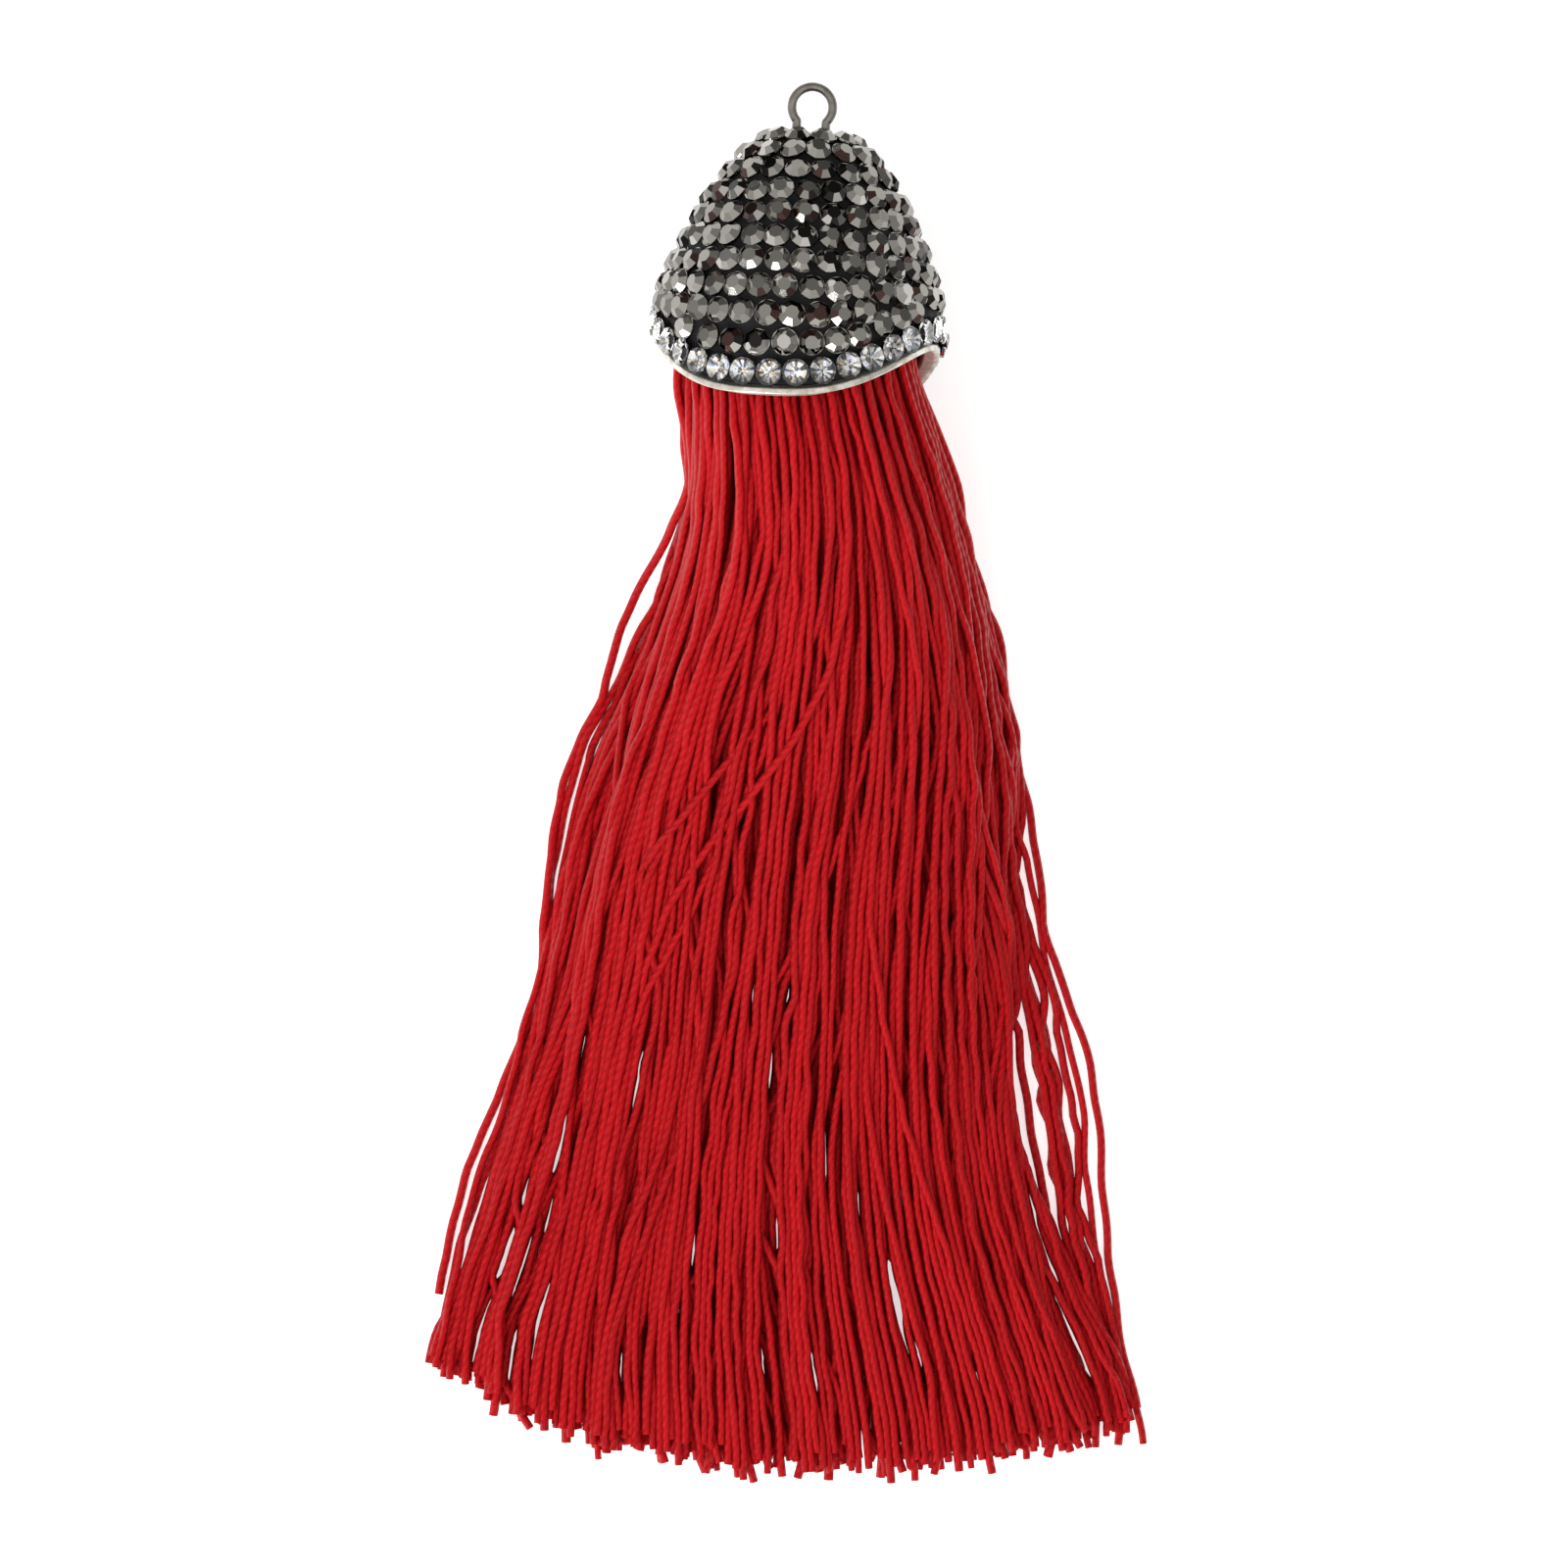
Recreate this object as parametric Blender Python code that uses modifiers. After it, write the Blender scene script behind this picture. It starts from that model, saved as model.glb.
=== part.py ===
"""A jeweled tassel, lying face up on a flat surface.

A turned metal cup with a saddle-shaped mouth is coated with black clay. Rows of faceted
stones are pressed into the clay, and one row of clear crystals follows the mouth. A wire eye
comes out of the crown, and a skein of red threads hangs from a head inside the cup.

The cap is modelled upright, with its crown up and its front towards -Y, and is then laid on
its back. The threads are modelled where they lie, in cross-sections along -Y. At the end the
whole tassel is moved so that the middle of its underside is at the origin.
"""

import math

import bmesh
import bpy
import numpy as np
from mathutils import Matrix, Vector

MM = 0.001
GAP = 0.3 * MM
WELD = 0.001 * MM
SEED = 7

# How the cap lies: its crown, the lean of its axis to the right and its turn about that axis.
CROWN_X = 2.28 * MM
CROWN_Y = 55.27 * MM
LEAN = math.radians(3.5)
TURN = math.radians(-12.0)

# The cap is a turned bell. This is the outline through the tips of its stones.
CAP_RADIUS = 12.7 * MM
BELL_OUTLINE = (
    # depth below the crown, radius
    (0.0 * MM, 0.0 * MM),
    (0.1 * MM, 1.5 * MM),
    (0.35 * MM, 3.0 * MM),
    (0.9 * MM, 4.3 * MM),
    (2.15 * MM, 5.85 * MM),
    (3.8 * MM, 7.2 * MM),
    (5.85 * MM, 8.55 * MM),
    (8.4 * MM, 9.85 * MM),
    (11.7 * MM, 11.35 * MM),
    (15.0 * MM, 12.4 * MM),
    (18.0 * MM, CAP_RADIUS),
    (26.0 * MM, CAP_RADIUS),
)
CURVE_STEPS = 20
OUTLINE_STEPS = 400
ROUND_STEPS = 720
LINE_STEPS = 24
TURNED_STEPS = 24
COAT_STEPS = 20
FACE_POINTS = 9
BACK_POINTS = 8
CROWN_CROWDING = 1.4

# The mouth is a saddle: it dips at the front and back and is raised at the sides.
MOUTH_DEPTH = 23.5 * MM
SADDLE_RISE = 5.1 * MM
SADDLE_POWER = 2.8
REACH = 16.0 * MM
TALL = 60.0 * MM

# Layers of the cap's wall, measured inwards from the tips of the stones.
CLAY_FACE = 0.55 * MM
CLAY_FOOT = 1.0 * MM
CLAY_BACK = 1.45 * MM
CUP_FACE = 1.75 * MM
CUP_INSIDE = 2.15 * MM
FLANGE_FACE = 0.75 * MM
OVERLAP = 0.25 * MM
FLANGE_HEIGHT = 0.55 * MM
FOOT_LIFT = 0.85 * MM
FACE_LIFT = 3.1 * MM

# Stones: a flat table and a ring of facets. Their rows rise a little towards the sides, keep
# clear of the crystals, and leave out stones where there is no room.
STONE_GIRDLE = 1.02 * MM
STONE_TABLE = 0.56 * MM
STONE_CROWN = 0.75 * MM
STONE_ROOT = 0.2 * MM
STONE_SIDES = 6
STONE_PITCH = 2.13 * MM
STONE_ROOM = 2.06 * MM
STONE_ROWS = (
    # depth below the crown, rise at the sides, turn from the upper side as a share of the pitch
    (0.75 * MM, 0.0, 0.5),
    (2.25 * MM, 0.0, 0.35),
    (4.05 * MM, 0.0, 0.6),
    (6.0 * MM, 0.0, 0.0),
    (8.0 * MM, 0.05 * MM, 0.0),
    (10.0 * MM, 0.15 * MM, 0.0),
    (12.15 * MM, 0.3 * MM, 0.0),
    (14.4 * MM, 0.55 * MM, 0.4),
    (16.75 * MM, 1.35 * MM, 0.74),
    (19.2 * MM, 3.9 * MM, 0.5),
)
LOWEST_STONE_LIFT = 4.1 * MM

CRYSTALS = 36
CRYSTAL_LIFT = 1.8 * MM
CRYSTAL_ROOM = 2.27 * MM
CRYSTAL_GIRDLE = 0.94 * MM
CRYSTAL_TABLE = 0.56 * MM
CRYSTAL_TIP = 0.06 * MM
CRYSTAL_HEIGHT = 0.62 * MM
CRYSTAL_SIDES = 8

# The wire eye, with two legs that pass through the crown to the head of the skein.
WIRE = 0.75 * MM
EYE_RADIUS = 1.71 * MM
EYE_HEIGHT = 1.55 * MM
LEG_SPREAD = 1.22 * MM
LEG_BORE = 1.4 * MM
BORE_SIDES = 12
BORE_ABOVE = 1.2 * MM
EYE_STEPS = 20

# The head of the skein: a turned plug that fills the crown of the cup.
HEAD_INSET = 2.5 * MM
HEAD_TOP = 5.2 * MM
HEAD_BASE = 13.0 * MM
HEAD_STEPS = 18
HEAD_POINTS = 8

# The skein: strands of three sides, each at its own place in every cross-section.
STRANDS = 130
STRAND_RADIUS = 0.52 * MM
STRAND_CORNERS = (90, 210, 330)
STRAND_ROOM = 1.2 * MM
WANDER = 0.3 * MM
WANDER_KEPT = 0.6
COMB_STEPS = 4
COMB_ROUNDS = 120
COMB_FORCE = 0.12
GOLDEN_ANGLE = math.pi * (3 - math.sqrt(5))
SECTIONS = (
    # along, left edge, right edge, underside, top, sag, left stray, right stray
    (43.4, -6.55, 9.65, 4.6, 20.8, 0.0, None, None),
    (31.5, -9.0, 10.8, 3.3, 22.1, 0.1, None, None),
    (21.0, -8.7, 15.4, 0.0, 18.5, 0.7, -9.9, 15.8),
    (6.0, -15.4, 19.2, 0.0, 13.0, 1.0, -17.0, 19.8),
    (-12.0, -19.8, 19.8, 0.0, 8.6, 1.0, -21.2, 22.6),
    (-30.0, -23.6, 22.2, 0.0, 6.4, 1.0, -26.0, 27.4),
    (-57.5, -30.4, 29.2, 0.0, 4.6, 1.0, -31.6, 30.9),
)
STRAYS_A_SIDE = 2
STRAY_GAP = 0.4
IN_CUP = 2
CUP_ROOM = 9.7 * MM
CUT_LINE = (
    # across, along
    (-30.5, -48.5),
    (-29.5, -49.2),
    (-20.0, -54.0),
    (-8.0, -57.0),
    (12.0, -57.2),
    (22.0, -56.0),
    (30.5, -54.0),
)
CUT_UNEVENNESS = 1.3 * MM
LONGEST_ACROSS = -3.0 * MM
LONGEST_END = -60.2 * MM
STRAY_CUT = -44.5 * MM

ROUND_ANGLE = 40


def clear_scene():
    for scene_object in list(bpy.data.objects):
        bpy.data.objects.remove(scene_object, do_unlink=True)


def new_collection(name):
    collection = bpy.data.collections.new(name)
    bpy.context.scene.collection.children.link(collection)
    return collection


def material(name, colour, roughness, metallic=0.0, transmission=0.0):
    made = bpy.data.materials.new(name)
    made.use_nodes = True
    shader = made.node_tree.nodes["Principled BSDF"]
    shader.inputs["Base Color"].default_value = (*colour, 1.0)
    shader.inputs["Roughness"].default_value = roughness
    shader.inputs["Metallic"].default_value = metallic
    shader.inputs["Transmission Weight"].default_value = transmission
    return made


def place(name, mesh, collection, finish=None):
    made = bpy.data.objects.new(name, mesh)
    collection.objects.link(made)
    if finish:
        mesh.materials.append(finish)
    return made


def as_cutter(made):
    made.hide_render = True
    made.display_type = "WIRE"
    return made


def boolean(target, cutter, operation):
    modifier = target.modifiers.new(operation.lower(), "BOOLEAN")
    modifier.object = cutter
    modifier.operation = operation
    modifier.solver = "EXACT"


def as_mesh_object(source, name, collection, finish=None):
    """Turn an object into plain mesh, with its modifiers applied and its caps welded."""
    bpy.context.view_layer.update()
    evaluated = source.evaluated_get(bpy.context.evaluated_depsgraph_get())
    mesh = bpy.data.meshes.new_from_object(evaluated)
    shell = bmesh.new()
    shell.from_mesh(mesh)
    bmesh.ops.remove_doubles(shell, verts=shell.verts, dist=WELD)
    shell.to_mesh(mesh)
    shell.free()
    mesh.materials.clear()
    made = place(name, mesh, collection, finish)
    made.matrix_world = source.matrix_world.copy()
    bpy.data.objects.remove(source, do_unlink=True)
    return made


def smooth_line(points, count):
    """Points at even distances along a smooth curve through the given ones."""
    knots = np.array(points, float)
    ends = np.vstack([2 * knots[0] - knots[1], knots, 2 * knots[-1] - knots[-2]])
    fine = []
    for before, start, stop, after in zip(ends, ends[1:], ends[2:], ends[3:]):
        for step in np.linspace(0, 1, CURVE_STEPS, endpoint=False):
            bend = 2 * before - 5 * start + 4 * stop - after
            twist = 3 * start - before - 3 * stop + after
            slope = stop - before
            fine.append(0.5 * (2 * start + slope * step + bend * step**2 + twist * step**3))
    fine = np.array(fine + [knots[-1]])
    lengths = np.append(0, np.cumsum(np.linalg.norm(np.diff(fine, axis=0), axis=1)))
    wanted = np.linspace(0, lengths[-1], count)
    return np.column_stack([np.interp(wanted, lengths, fine[:, axis]) for axis in (0, 1)])


BELL_LINE = smooth_line(BELL_OUTLINE, OUTLINE_STEPS)
BELL_LINE[:, 1] = np.minimum(BELL_LINE[:, 1], CAP_RADIUS)
BELL_SLOPE = np.gradient(BELL_LINE, axis=0)
BELL_SLOPE /= np.linalg.norm(BELL_SLOPE, axis=1)[:, None]


def wall_line(inset, count, deepest=BELL_OUTLINE[-1][0]):
    """Profile points (radius, height) of the bell's outline, moved inwards by inset."""
    depth = BELL_LINE[:, 0] + inset * BELL_SLOPE[:, 1]
    radius = BELL_LINE[:, 1] - inset * BELL_SLOPE[:, 0]
    radius[0] = 0.0
    kept = (radius >= 0) & (depth <= deepest)
    depth, radius = depth[kept], radius[kept]
    lengths = np.append(0, np.cumsum(np.hypot(np.diff(depth), np.diff(radius))))
    wanted = lengths[-1] * np.linspace(0, 1, count) ** CROWN_CROWDING
    depths, radii = (np.interp(wanted, lengths, line) for line in (depth, radius))
    return [(across, -down) for across, down in zip(radii, depths)]


def turned(name, profile, collection, steps):
    """A solid turned about Z from a profile that starts and ends on the axis."""
    mesh = bpy.data.meshes.new(name)
    corners = [(radius, 0.0, height) for radius, height in profile]
    mesh.from_pydata(corners, [(i, i + 1) for i in range(len(corners) - 1)], [])
    made = place(name, mesh, collection)
    screw = made.modifiers.new("turn", "SCREW")
    screw.axis = "Z"
    screw.steps = screw.render_steps = steps
    screw.use_merge_vertices = True
    screw.merge_threshold = WELD
    return made


def bell(name, face, back, collection, steps):
    """A closed bell wall between two insets."""
    outside = wall_line(face, FACE_POINTS)
    inside = wall_line(back, BACK_POINTS)
    return turned(name, outside + inside[::-1], collection, steps)


def above_mouth(across, lift):
    """The height of a line that follows the saddle's edge, lift above it on the wall."""
    share = min(abs(across) / CAP_RADIUS, REACH / CAP_RADIUS)
    depth = MOUTH_DEPTH - SADDLE_RISE * share**SADDLE_POWER
    slope = SADDLE_RISE * SADDLE_POWER / CAP_RADIUS * share ** (SADDLE_POWER - 1)
    on_wall = math.sqrt(max(0.0, 1 - share**2))
    return lift * math.hypot(1, slope * on_wall) - depth


def mouth_band(name, lower, upper, collection):
    """A prism that holds what lies between two heights above the saddle's edge."""
    line = np.linspace(-REACH, REACH, LINE_STEPS)
    floor = [(across, above_mouth(across, lower)) for across in line]
    if upper is None:
        ceiling = [(REACH, TALL), (-REACH, TALL)]
    else:
        ceiling = [(across, above_mouth(across, upper)) for across in reversed(line)]
    curve = bpy.data.curves.new(name, "CURVE")
    curve.dimensions = "2D"
    curve.fill_mode = "BOTH"
    curve.extrude = REACH
    corners = floor + ceiling
    spline = curve.splines.new("POLY")
    spline.points.add(len(corners) - 1)
    for point, (across, height) in zip(spline.points, corners):
        point.co = (across, height, 0.0, 1.0)
    spline.use_cyclic_u = True
    source = place(name + "_outline", curve, collection)
    prism = as_mesh_object(source, name, collection)
    prism.data.transform(Matrix.Rotation(math.pi / 2, 4, "X"))
    return as_cutter(prism)


def trimmed_bell(name, face, back, lower, upper, scrap, steps=TURNED_STEPS):
    """The part of a bell wall that lies between two heights above the saddle's edge."""
    wall = bell(name + "_wall", face, back, scrap, steps)
    boolean(wall, mouth_band(name + "_band", lower, upper, scrap), "INTERSECT")
    return as_cutter(as_mesh_object(wall, name, scrap))


def surface_point(depth, angle):
    """A point on the outline through the stones' tips, and the direction out of it."""
    row = int(np.argmin(np.abs(BELL_LINE[:, 0] - depth)))
    down, radius = BELL_LINE[row]
    along = BELL_SLOPE[row]
    around = Vector((math.sin(angle), -math.cos(angle), 0.0))
    outward = around * along[0] + Vector((0.0, 0.0, along[1]))
    return around * radius - Vector((0.0, 0.0, down)), outward


def mouth_line(lift):
    """Gives the depth of a line that follows the mouth, lift above it, at an angle."""
    return lambda angle: -above_mouth(CAP_RADIUS * math.sin(angle), lift)


def row_line(depth, rise):
    """Gives the depth of a row of stones at an angle."""
    lowest = mouth_line(LOWEST_STONE_LIFT)
    return lambda angle: min(depth - rise * abs(math.sin(angle)) ** SADDLE_POWER, lowest(angle))


def round_bell(line, count, turn=0.0):
    """Even places around the bell on a line, from the side that faces up."""
    angles = np.linspace(0, 2 * math.pi, ROUND_STEPS + 1) - TURN
    path = [surface_point(line(angle), angle)[0] for angle in angles]
    steps = [(after - before).length for before, after in zip(path, path[1:])]
    lengths = np.append(0, np.cumsum(steps))
    angles = np.interp((np.arange(count) + turn) * lengths[-1] / count, lengths, angles)
    return [surface_point(line(angle), angle) for angle in angles]


def crystal_places():
    """Even places along the mouth, one of them on the side that the cap lies on."""
    return round_bell(mouth_line(CRYSTAL_LIFT), CRYSTALS)


def stone_places():
    """Rows of stones from the crown down, as far as each has room beside the others' girdles."""
    crystals = [point for point, _ in crystal_places()]
    places = []
    for depth, rise, turn in STONE_ROWS:
        point, outward = surface_point(depth, 0.0)
        ring = 2 * math.pi * abs(point.y - STONE_CROWN * outward.y)
        row = round_bell(row_line(depth, rise), round(ring / STONE_PITCH), turn)
        taken = [other - STONE_CROWN * facing for other, facing in places]
        for point, outward in row:
            girdle = point - STONE_CROWN * outward
            beside = min([(girdle - other).length for other in taken], default=STONE_PITCH)
            below = min((point - other).length for other in crystals)
            if beside > STONE_ROOM and below > CRYSTAL_ROOM:
                places.append((point, outward))
    return places


def turned_stone(name, sides, table, girdle, crown, root, collection):
    """The mesh of one faceted stone: its table at the origin, facing up."""
    profile = [(0.0, 0.0), (table, 0.0), (girdle, -crown)]
    if root:
        profile.append((girdle, -crown - root))
    profile.append((0.0, -crown - root))
    lathe = turned(name + "_lathe", profile, collection, sides)
    pattern = as_mesh_object(lathe, name + "_pattern", collection)
    mesh = pattern.data.copy()
    bpy.data.objects.remove(pattern, do_unlink=True)
    return mesh


def seat(point, outward):
    """The matrix that sets a stone on a point, facing outward."""
    return Matrix.Translation(point) @ outward.to_track_quat("Z", "Y").to_matrix().to_4x4()


def lay_down():
    """The matrix that lays the upright cap on its back."""
    crown = Vector((CROWN_X, CROWN_Y, CAP_RADIUS))
    return (
        Matrix.Translation(crown)
        @ Matrix.Rotation(-LEAN, 4, "Z")
        @ Matrix.Rotation(-math.pi / 2, 4, "X")
        @ Matrix.Rotation(TURN, 4, "Z")
    )


def leg_bores(target, scrap):
    """Bore the crown of a bell for the two legs of the wire eye."""
    length = HEAD_TOP + BORE_ABOVE
    for side in (-1, 1):
        bpy.ops.mesh.primitive_cylinder_add(vertices=BORE_SIDES, radius=LEG_BORE / 2, depth=length)
        bore = as_cutter(bpy.context.object)
        bore.name = "leg_bore"
        for owner in list(bore.users_collection):
            owner.objects.unlink(bore)
        scrap.objects.link(bore)
        bore.data.transform(Matrix.Translation((side * LEG_SPREAD, 0.0, BORE_ABOVE - length / 2)))
        bore.data.transform(Matrix.Rotation(-TURN, 4, "Z"))
        boolean(target, bore, "DIFFERENCE")


def make_cup(parts, scrap, finish):
    """The metal cup: a thin bell with a flange around its mouth."""
    liner = trimmed_bell("liner", CUP_FACE, CUP_INSIDE, 0.0, None, scrap)
    flange = trimmed_bell("flange", FLANGE_FACE, CUP_INSIDE - OVERLAP, 0.0, FLANGE_HEIGHT, scrap)
    boolean(liner, flange, "UNION")
    leg_bores(liner, scrap)
    return as_mesh_object(liner, "metal_cup", parts, finish)


def make_clay(parts, scrap, finish):
    """The clay coat, stepped back under the crystals, with the rows of stones set in it."""
    coat = trimmed_bell(
        "coat", CLAY_FACE, CLAY_BACK - OVERLAP, FACE_LIFT, None, scrap, COAT_STEPS
    )
    foot = trimmed_bell("foot", CLAY_FOOT, CLAY_BACK, FOOT_LIFT, None, scrap)
    pattern = turned_stone(
        "stone", STONE_SIDES, STONE_TABLE, STONE_GIRDLE, STONE_CROWN, STONE_ROOT, scrap
    )
    shell = bmesh.new()
    for point, outward in stone_places():
        already = len(shell.verts)
        shell.from_mesh(pattern)
        shell.verts.ensure_lookup_table()
        bmesh.ops.transform(shell, matrix=seat(point, outward), verts=shell.verts[already:])
    mesh = bpy.data.meshes.new("stones")
    shell.to_mesh(mesh)
    shell.free()
    stones = as_cutter(place("stones", mesh, scrap))
    boolean(coat, foot, "UNION")
    boolean(coat, stones, "UNION")
    leg_bores(coat, scrap)
    return as_mesh_object(coat, "jeweled_clay", parts, finish)


def make_crystals(parts, scrap, finish):
    """One crystal in each place along the mouth, every one a node of its own."""
    pattern = turned_stone(
        "crystal", CRYSTAL_SIDES, CRYSTAL_TABLE, CRYSTAL_GIRDLE, CRYSTAL_HEIGHT, 0.0, scrap
    )
    pattern.materials.append(finish)
    made = []
    for number, (point, outward) in enumerate(crystal_places(), start=1):
        mesh = pattern.copy()
        mesh.transform(seat(point - outward * CRYSTAL_TIP, outward))
        made.append(place(f"crystal_{number:02d}", mesh, parts))
    return made


def make_wire(parts, scrap, finish):
    """The wire eye: most of a circle, with two straight legs down through the crown."""
    opening = math.asin(LEG_SPREAD / EYE_RADIUS)
    start, stop = -math.pi / 2 + opening, 3 * math.pi / 2 - opening
    eye = [
        (EYE_RADIUS * math.cos(angle), EYE_HEIGHT + EYE_RADIUS * math.sin(angle))
        for angle in np.linspace(start, stop, EYE_STEPS)
    ]
    leg_end = GAP - HEAD_TOP
    right_leg = [(LEG_SPREAD, leg_end), (LEG_SPREAD, 0.0)]
    left_leg = [(-LEG_SPREAD, 0.0), (-LEG_SPREAD, leg_end)]
    route = right_leg + eye + left_leg
    curve = bpy.data.curves.new("wire_line", "CURVE")
    curve.dimensions = "3D"
    curve.bevel_depth = WIRE / 2
    curve.bevel_resolution = 2
    curve.use_fill_caps = True
    spline = curve.splines.new("POLY")
    spline.points.add(len(route) - 1)
    for point, (across, height) in zip(spline.points, route):
        point.co = (across, 0.0, height, 1.0)
    source = place("wire_line", curve, scrap)
    made = as_mesh_object(source, "wire_eye", parts, finish)
    made.data.transform(Matrix.Rotation(-TURN, 4, "Z"))
    return made


def round_places(count, radius):
    """Evenly spread places in a disc, in the pattern of a sunflower's seeds."""
    index = np.arange(count)
    ring = radius * np.sqrt((index + 0.5) / count)
    angle = index * GOLDEN_ANGLE
    return np.column_stack([ring * np.cos(angle), ring * np.sin(angle)])


def section_limits():
    """The lowest height and the side limits of every cross-section."""
    low = np.array([max(section[3] * MM, STRAND_RADIUS / 2) for section in SECTIONS])
    left, right = (np.array([section[side] * MM for section in SECTIONS]) for side in (1, 2))
    return low[:, None], left[:, None], right[:, None]


def comb(places, held):
    """Move strands apart, in the cross-sections and on the way between them."""
    low, left, right = section_limits()
    axis = np.array([
        [(CROWN_X - (CROWN_Y - section[0] * MM) * math.tan(LEAN), CAP_RADIUS)] for section in SECTIONS
    ])
    free = np.isnan(held)
    shares = np.arange(COMB_STEPS) / COMB_STEPS
    weights = np.zeros((COMB_STEPS * (len(places) - 1) + 1, len(places)))
    weights[-1, -1] = 1.0
    for gap in range(len(places) - 1):
        rows = slice(gap * COMB_STEPS, (gap + 1) * COMB_STEPS)
        weights[rows, gap] = 1 - shares
        weights[rows, gap + 1] = shares
    for _ in range(COMB_ROUNDS):
        between = np.einsum("sk,knc->snc", weights, places)
        offset = between[:, :, None] - between[:, None]
        distance = np.linalg.norm(offset, axis=3) + np.eye(STRANDS)
        push = np.clip(STRAND_ROOM - distance, 0, None) / distance
        moved = (offset * push[..., None]).sum(axis=2)
        places[1:] += COMB_FORCE * np.einsum("sk,snc->knc", weights, moved)[1:]
        across = np.where(free, np.clip(places[..., 0], left, right), held)
        height = np.maximum(places[..., 1], low)
        places[1:] = np.stack([across, height], axis=2)[1:]
        from_axis = places[1:IN_CUP] - axis[1:IN_CUP]
        reach = np.linalg.norm(from_axis, axis=2, keepdims=True)
        places[1:IN_CUP] = axis[1:IN_CUP] + from_axis * np.minimum(1, CUP_ROOM / reach)
    return places


def section_places():
    """Each strand's place in every cross-section, and the strands that stray."""
    chance = np.random.default_rng(SEED)
    unit = round_places(STRANDS, 1.0)
    order = np.argsort(unit[:, 0])
    strays = (order[:STRAYS_A_SIDE], order[::-1][:STRAYS_A_SIDE])
    rise = np.sqrt(1 - unit[:, 0] ** 2)
    wander = np.zeros_like(unit)
    held = np.full((len(SECTIONS), STRANDS), np.nan)
    places = []
    for section, (_, left, right, low, high, sag, *edges) in enumerate(SECTIONS):
        heap = (1 - sag) * (unit[:, 1] + 1) / 2 + sag * (unit[:, 1] + rise) / 2
        across = (left + right) / 2 + (right - left) / 2 * unit[:, 0]
        places.append(np.column_stack([across, low + (high - low) * heap]) * MM + wander)
        wander = WANDER_KEPT * wander + chance.normal(0, WANDER, unit.shape)
        for chosen, bundle_edge, edge in zip(strays, (left, right), edges):
            for rank, strand in enumerate(chosen):
                if edge is not None:
                    held[section, strand] = (edge + rank * STRAY_GAP * (bundle_edge - edge)) * MM
    return comb(np.array(places), held), strays


def cut_ends(across, strays):
    """Where each strand is cut off: an uneven arc, with one strand longer."""
    chance = np.random.default_rng(SEED + 1)
    line_across, line_along = (np.array(column) * MM for column in zip(*CUT_LINE))
    ends = np.interp(across, line_across, line_along)
    ends += chance.uniform(-1, 1, STRANDS) * CUT_UNEVENNESS
    ends[np.argmin(np.abs(across - LONGEST_ACROSS))] = LONGEST_END
    ends[strays[0][0]] = STRAY_CUT
    return ends


def strand_mesh():
    """All strands, each a chain of triangles with its flat side down."""
    places, strays = section_places()
    along = np.array([section[0] for section in SECTIONS]) * MM
    share = (cut_ends(places[-1, :, 0], strays) - along[-2]) / (along[-1] - along[-2])
    places[-1] = places[-2] + (places[-1] - places[-2]) * share[:, None]
    places[-1, :, 1] = np.maximum(places[-1, :, 1], STRAND_RADIUS / 2)
    tips = along[-2] + (along[-1] - along[-2]) * share
    corners = [
        (STRAND_RADIUS * math.cos(angle), STRAND_RADIUS * math.sin(angle))
        for angle in np.radians(STRAND_CORNERS)
    ]
    shell = bmesh.new()
    for strand in range(STRANDS):
        rings = []
        for section, (across, height) in enumerate(places[:, strand]):
            level = tips[strand] if section == len(along) - 1 else along[section]
            rings.append([shell.verts.new((across + x, level, height + z)) for x, z in corners])
        for ring, following in zip(rings, rings[1:]):
            for corner in range(len(corners)):
                after = (corner + 1) % len(corners)
                shell.faces.new((ring[corner], ring[after], following[after], following[corner]))
        shell.faces.new(rings[0])
        shell.faces.new(rings[-1])
    bmesh.ops.recalc_face_normals(shell, faces=shell.faces)
    mesh = bpy.data.meshes.new("strands")
    shell.to_mesh(mesh)
    shell.free()
    return mesh


def make_skein(parts, scrap, finish):
    """The head with every strand fused to it."""
    strands = as_cutter(place("strands", strand_mesh(), scrap))
    wall = wall_line(HEAD_INSET, HEAD_POINTS, HEAD_BASE)
    side = [(radius, height) for radius, height in wall if height < -HEAD_TOP]
    profile = [(0.0, -HEAD_TOP), *side, (0.0, side[-1][1])]
    plug = turned("plug", profile, scrap, HEAD_STEPS)
    head = as_mesh_object(plug, "head", scrap)
    head.data.transform(lay_down())
    boolean(head, strands, "UNION")
    return as_mesh_object(head, "thread_skirt", parts, finish)


def shade_round(made, angle):
    """Smooth shading, but for edges that turn more than an angle in degrees."""
    made.data.shade_smooth()
    made.data.set_sharp_from_angle(angle=math.radians(angle))


def centre_on_origin(parts):
    """Move everything so that the middle of the box's underside is at the origin."""
    bpy.context.view_layer.update()
    corners = np.array([
        made.matrix_world @ vertex.co for made in parts.objects for vertex in made.data.vertices
    ])
    low, high = corners.min(axis=0), corners.max(axis=0)
    middle = (low + high) / 2
    shift = Matrix.Translation((-middle[0], -middle[1], -low[2]))
    for made in parts.objects:
        made.matrix_world = shift @ made.matrix_world


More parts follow.
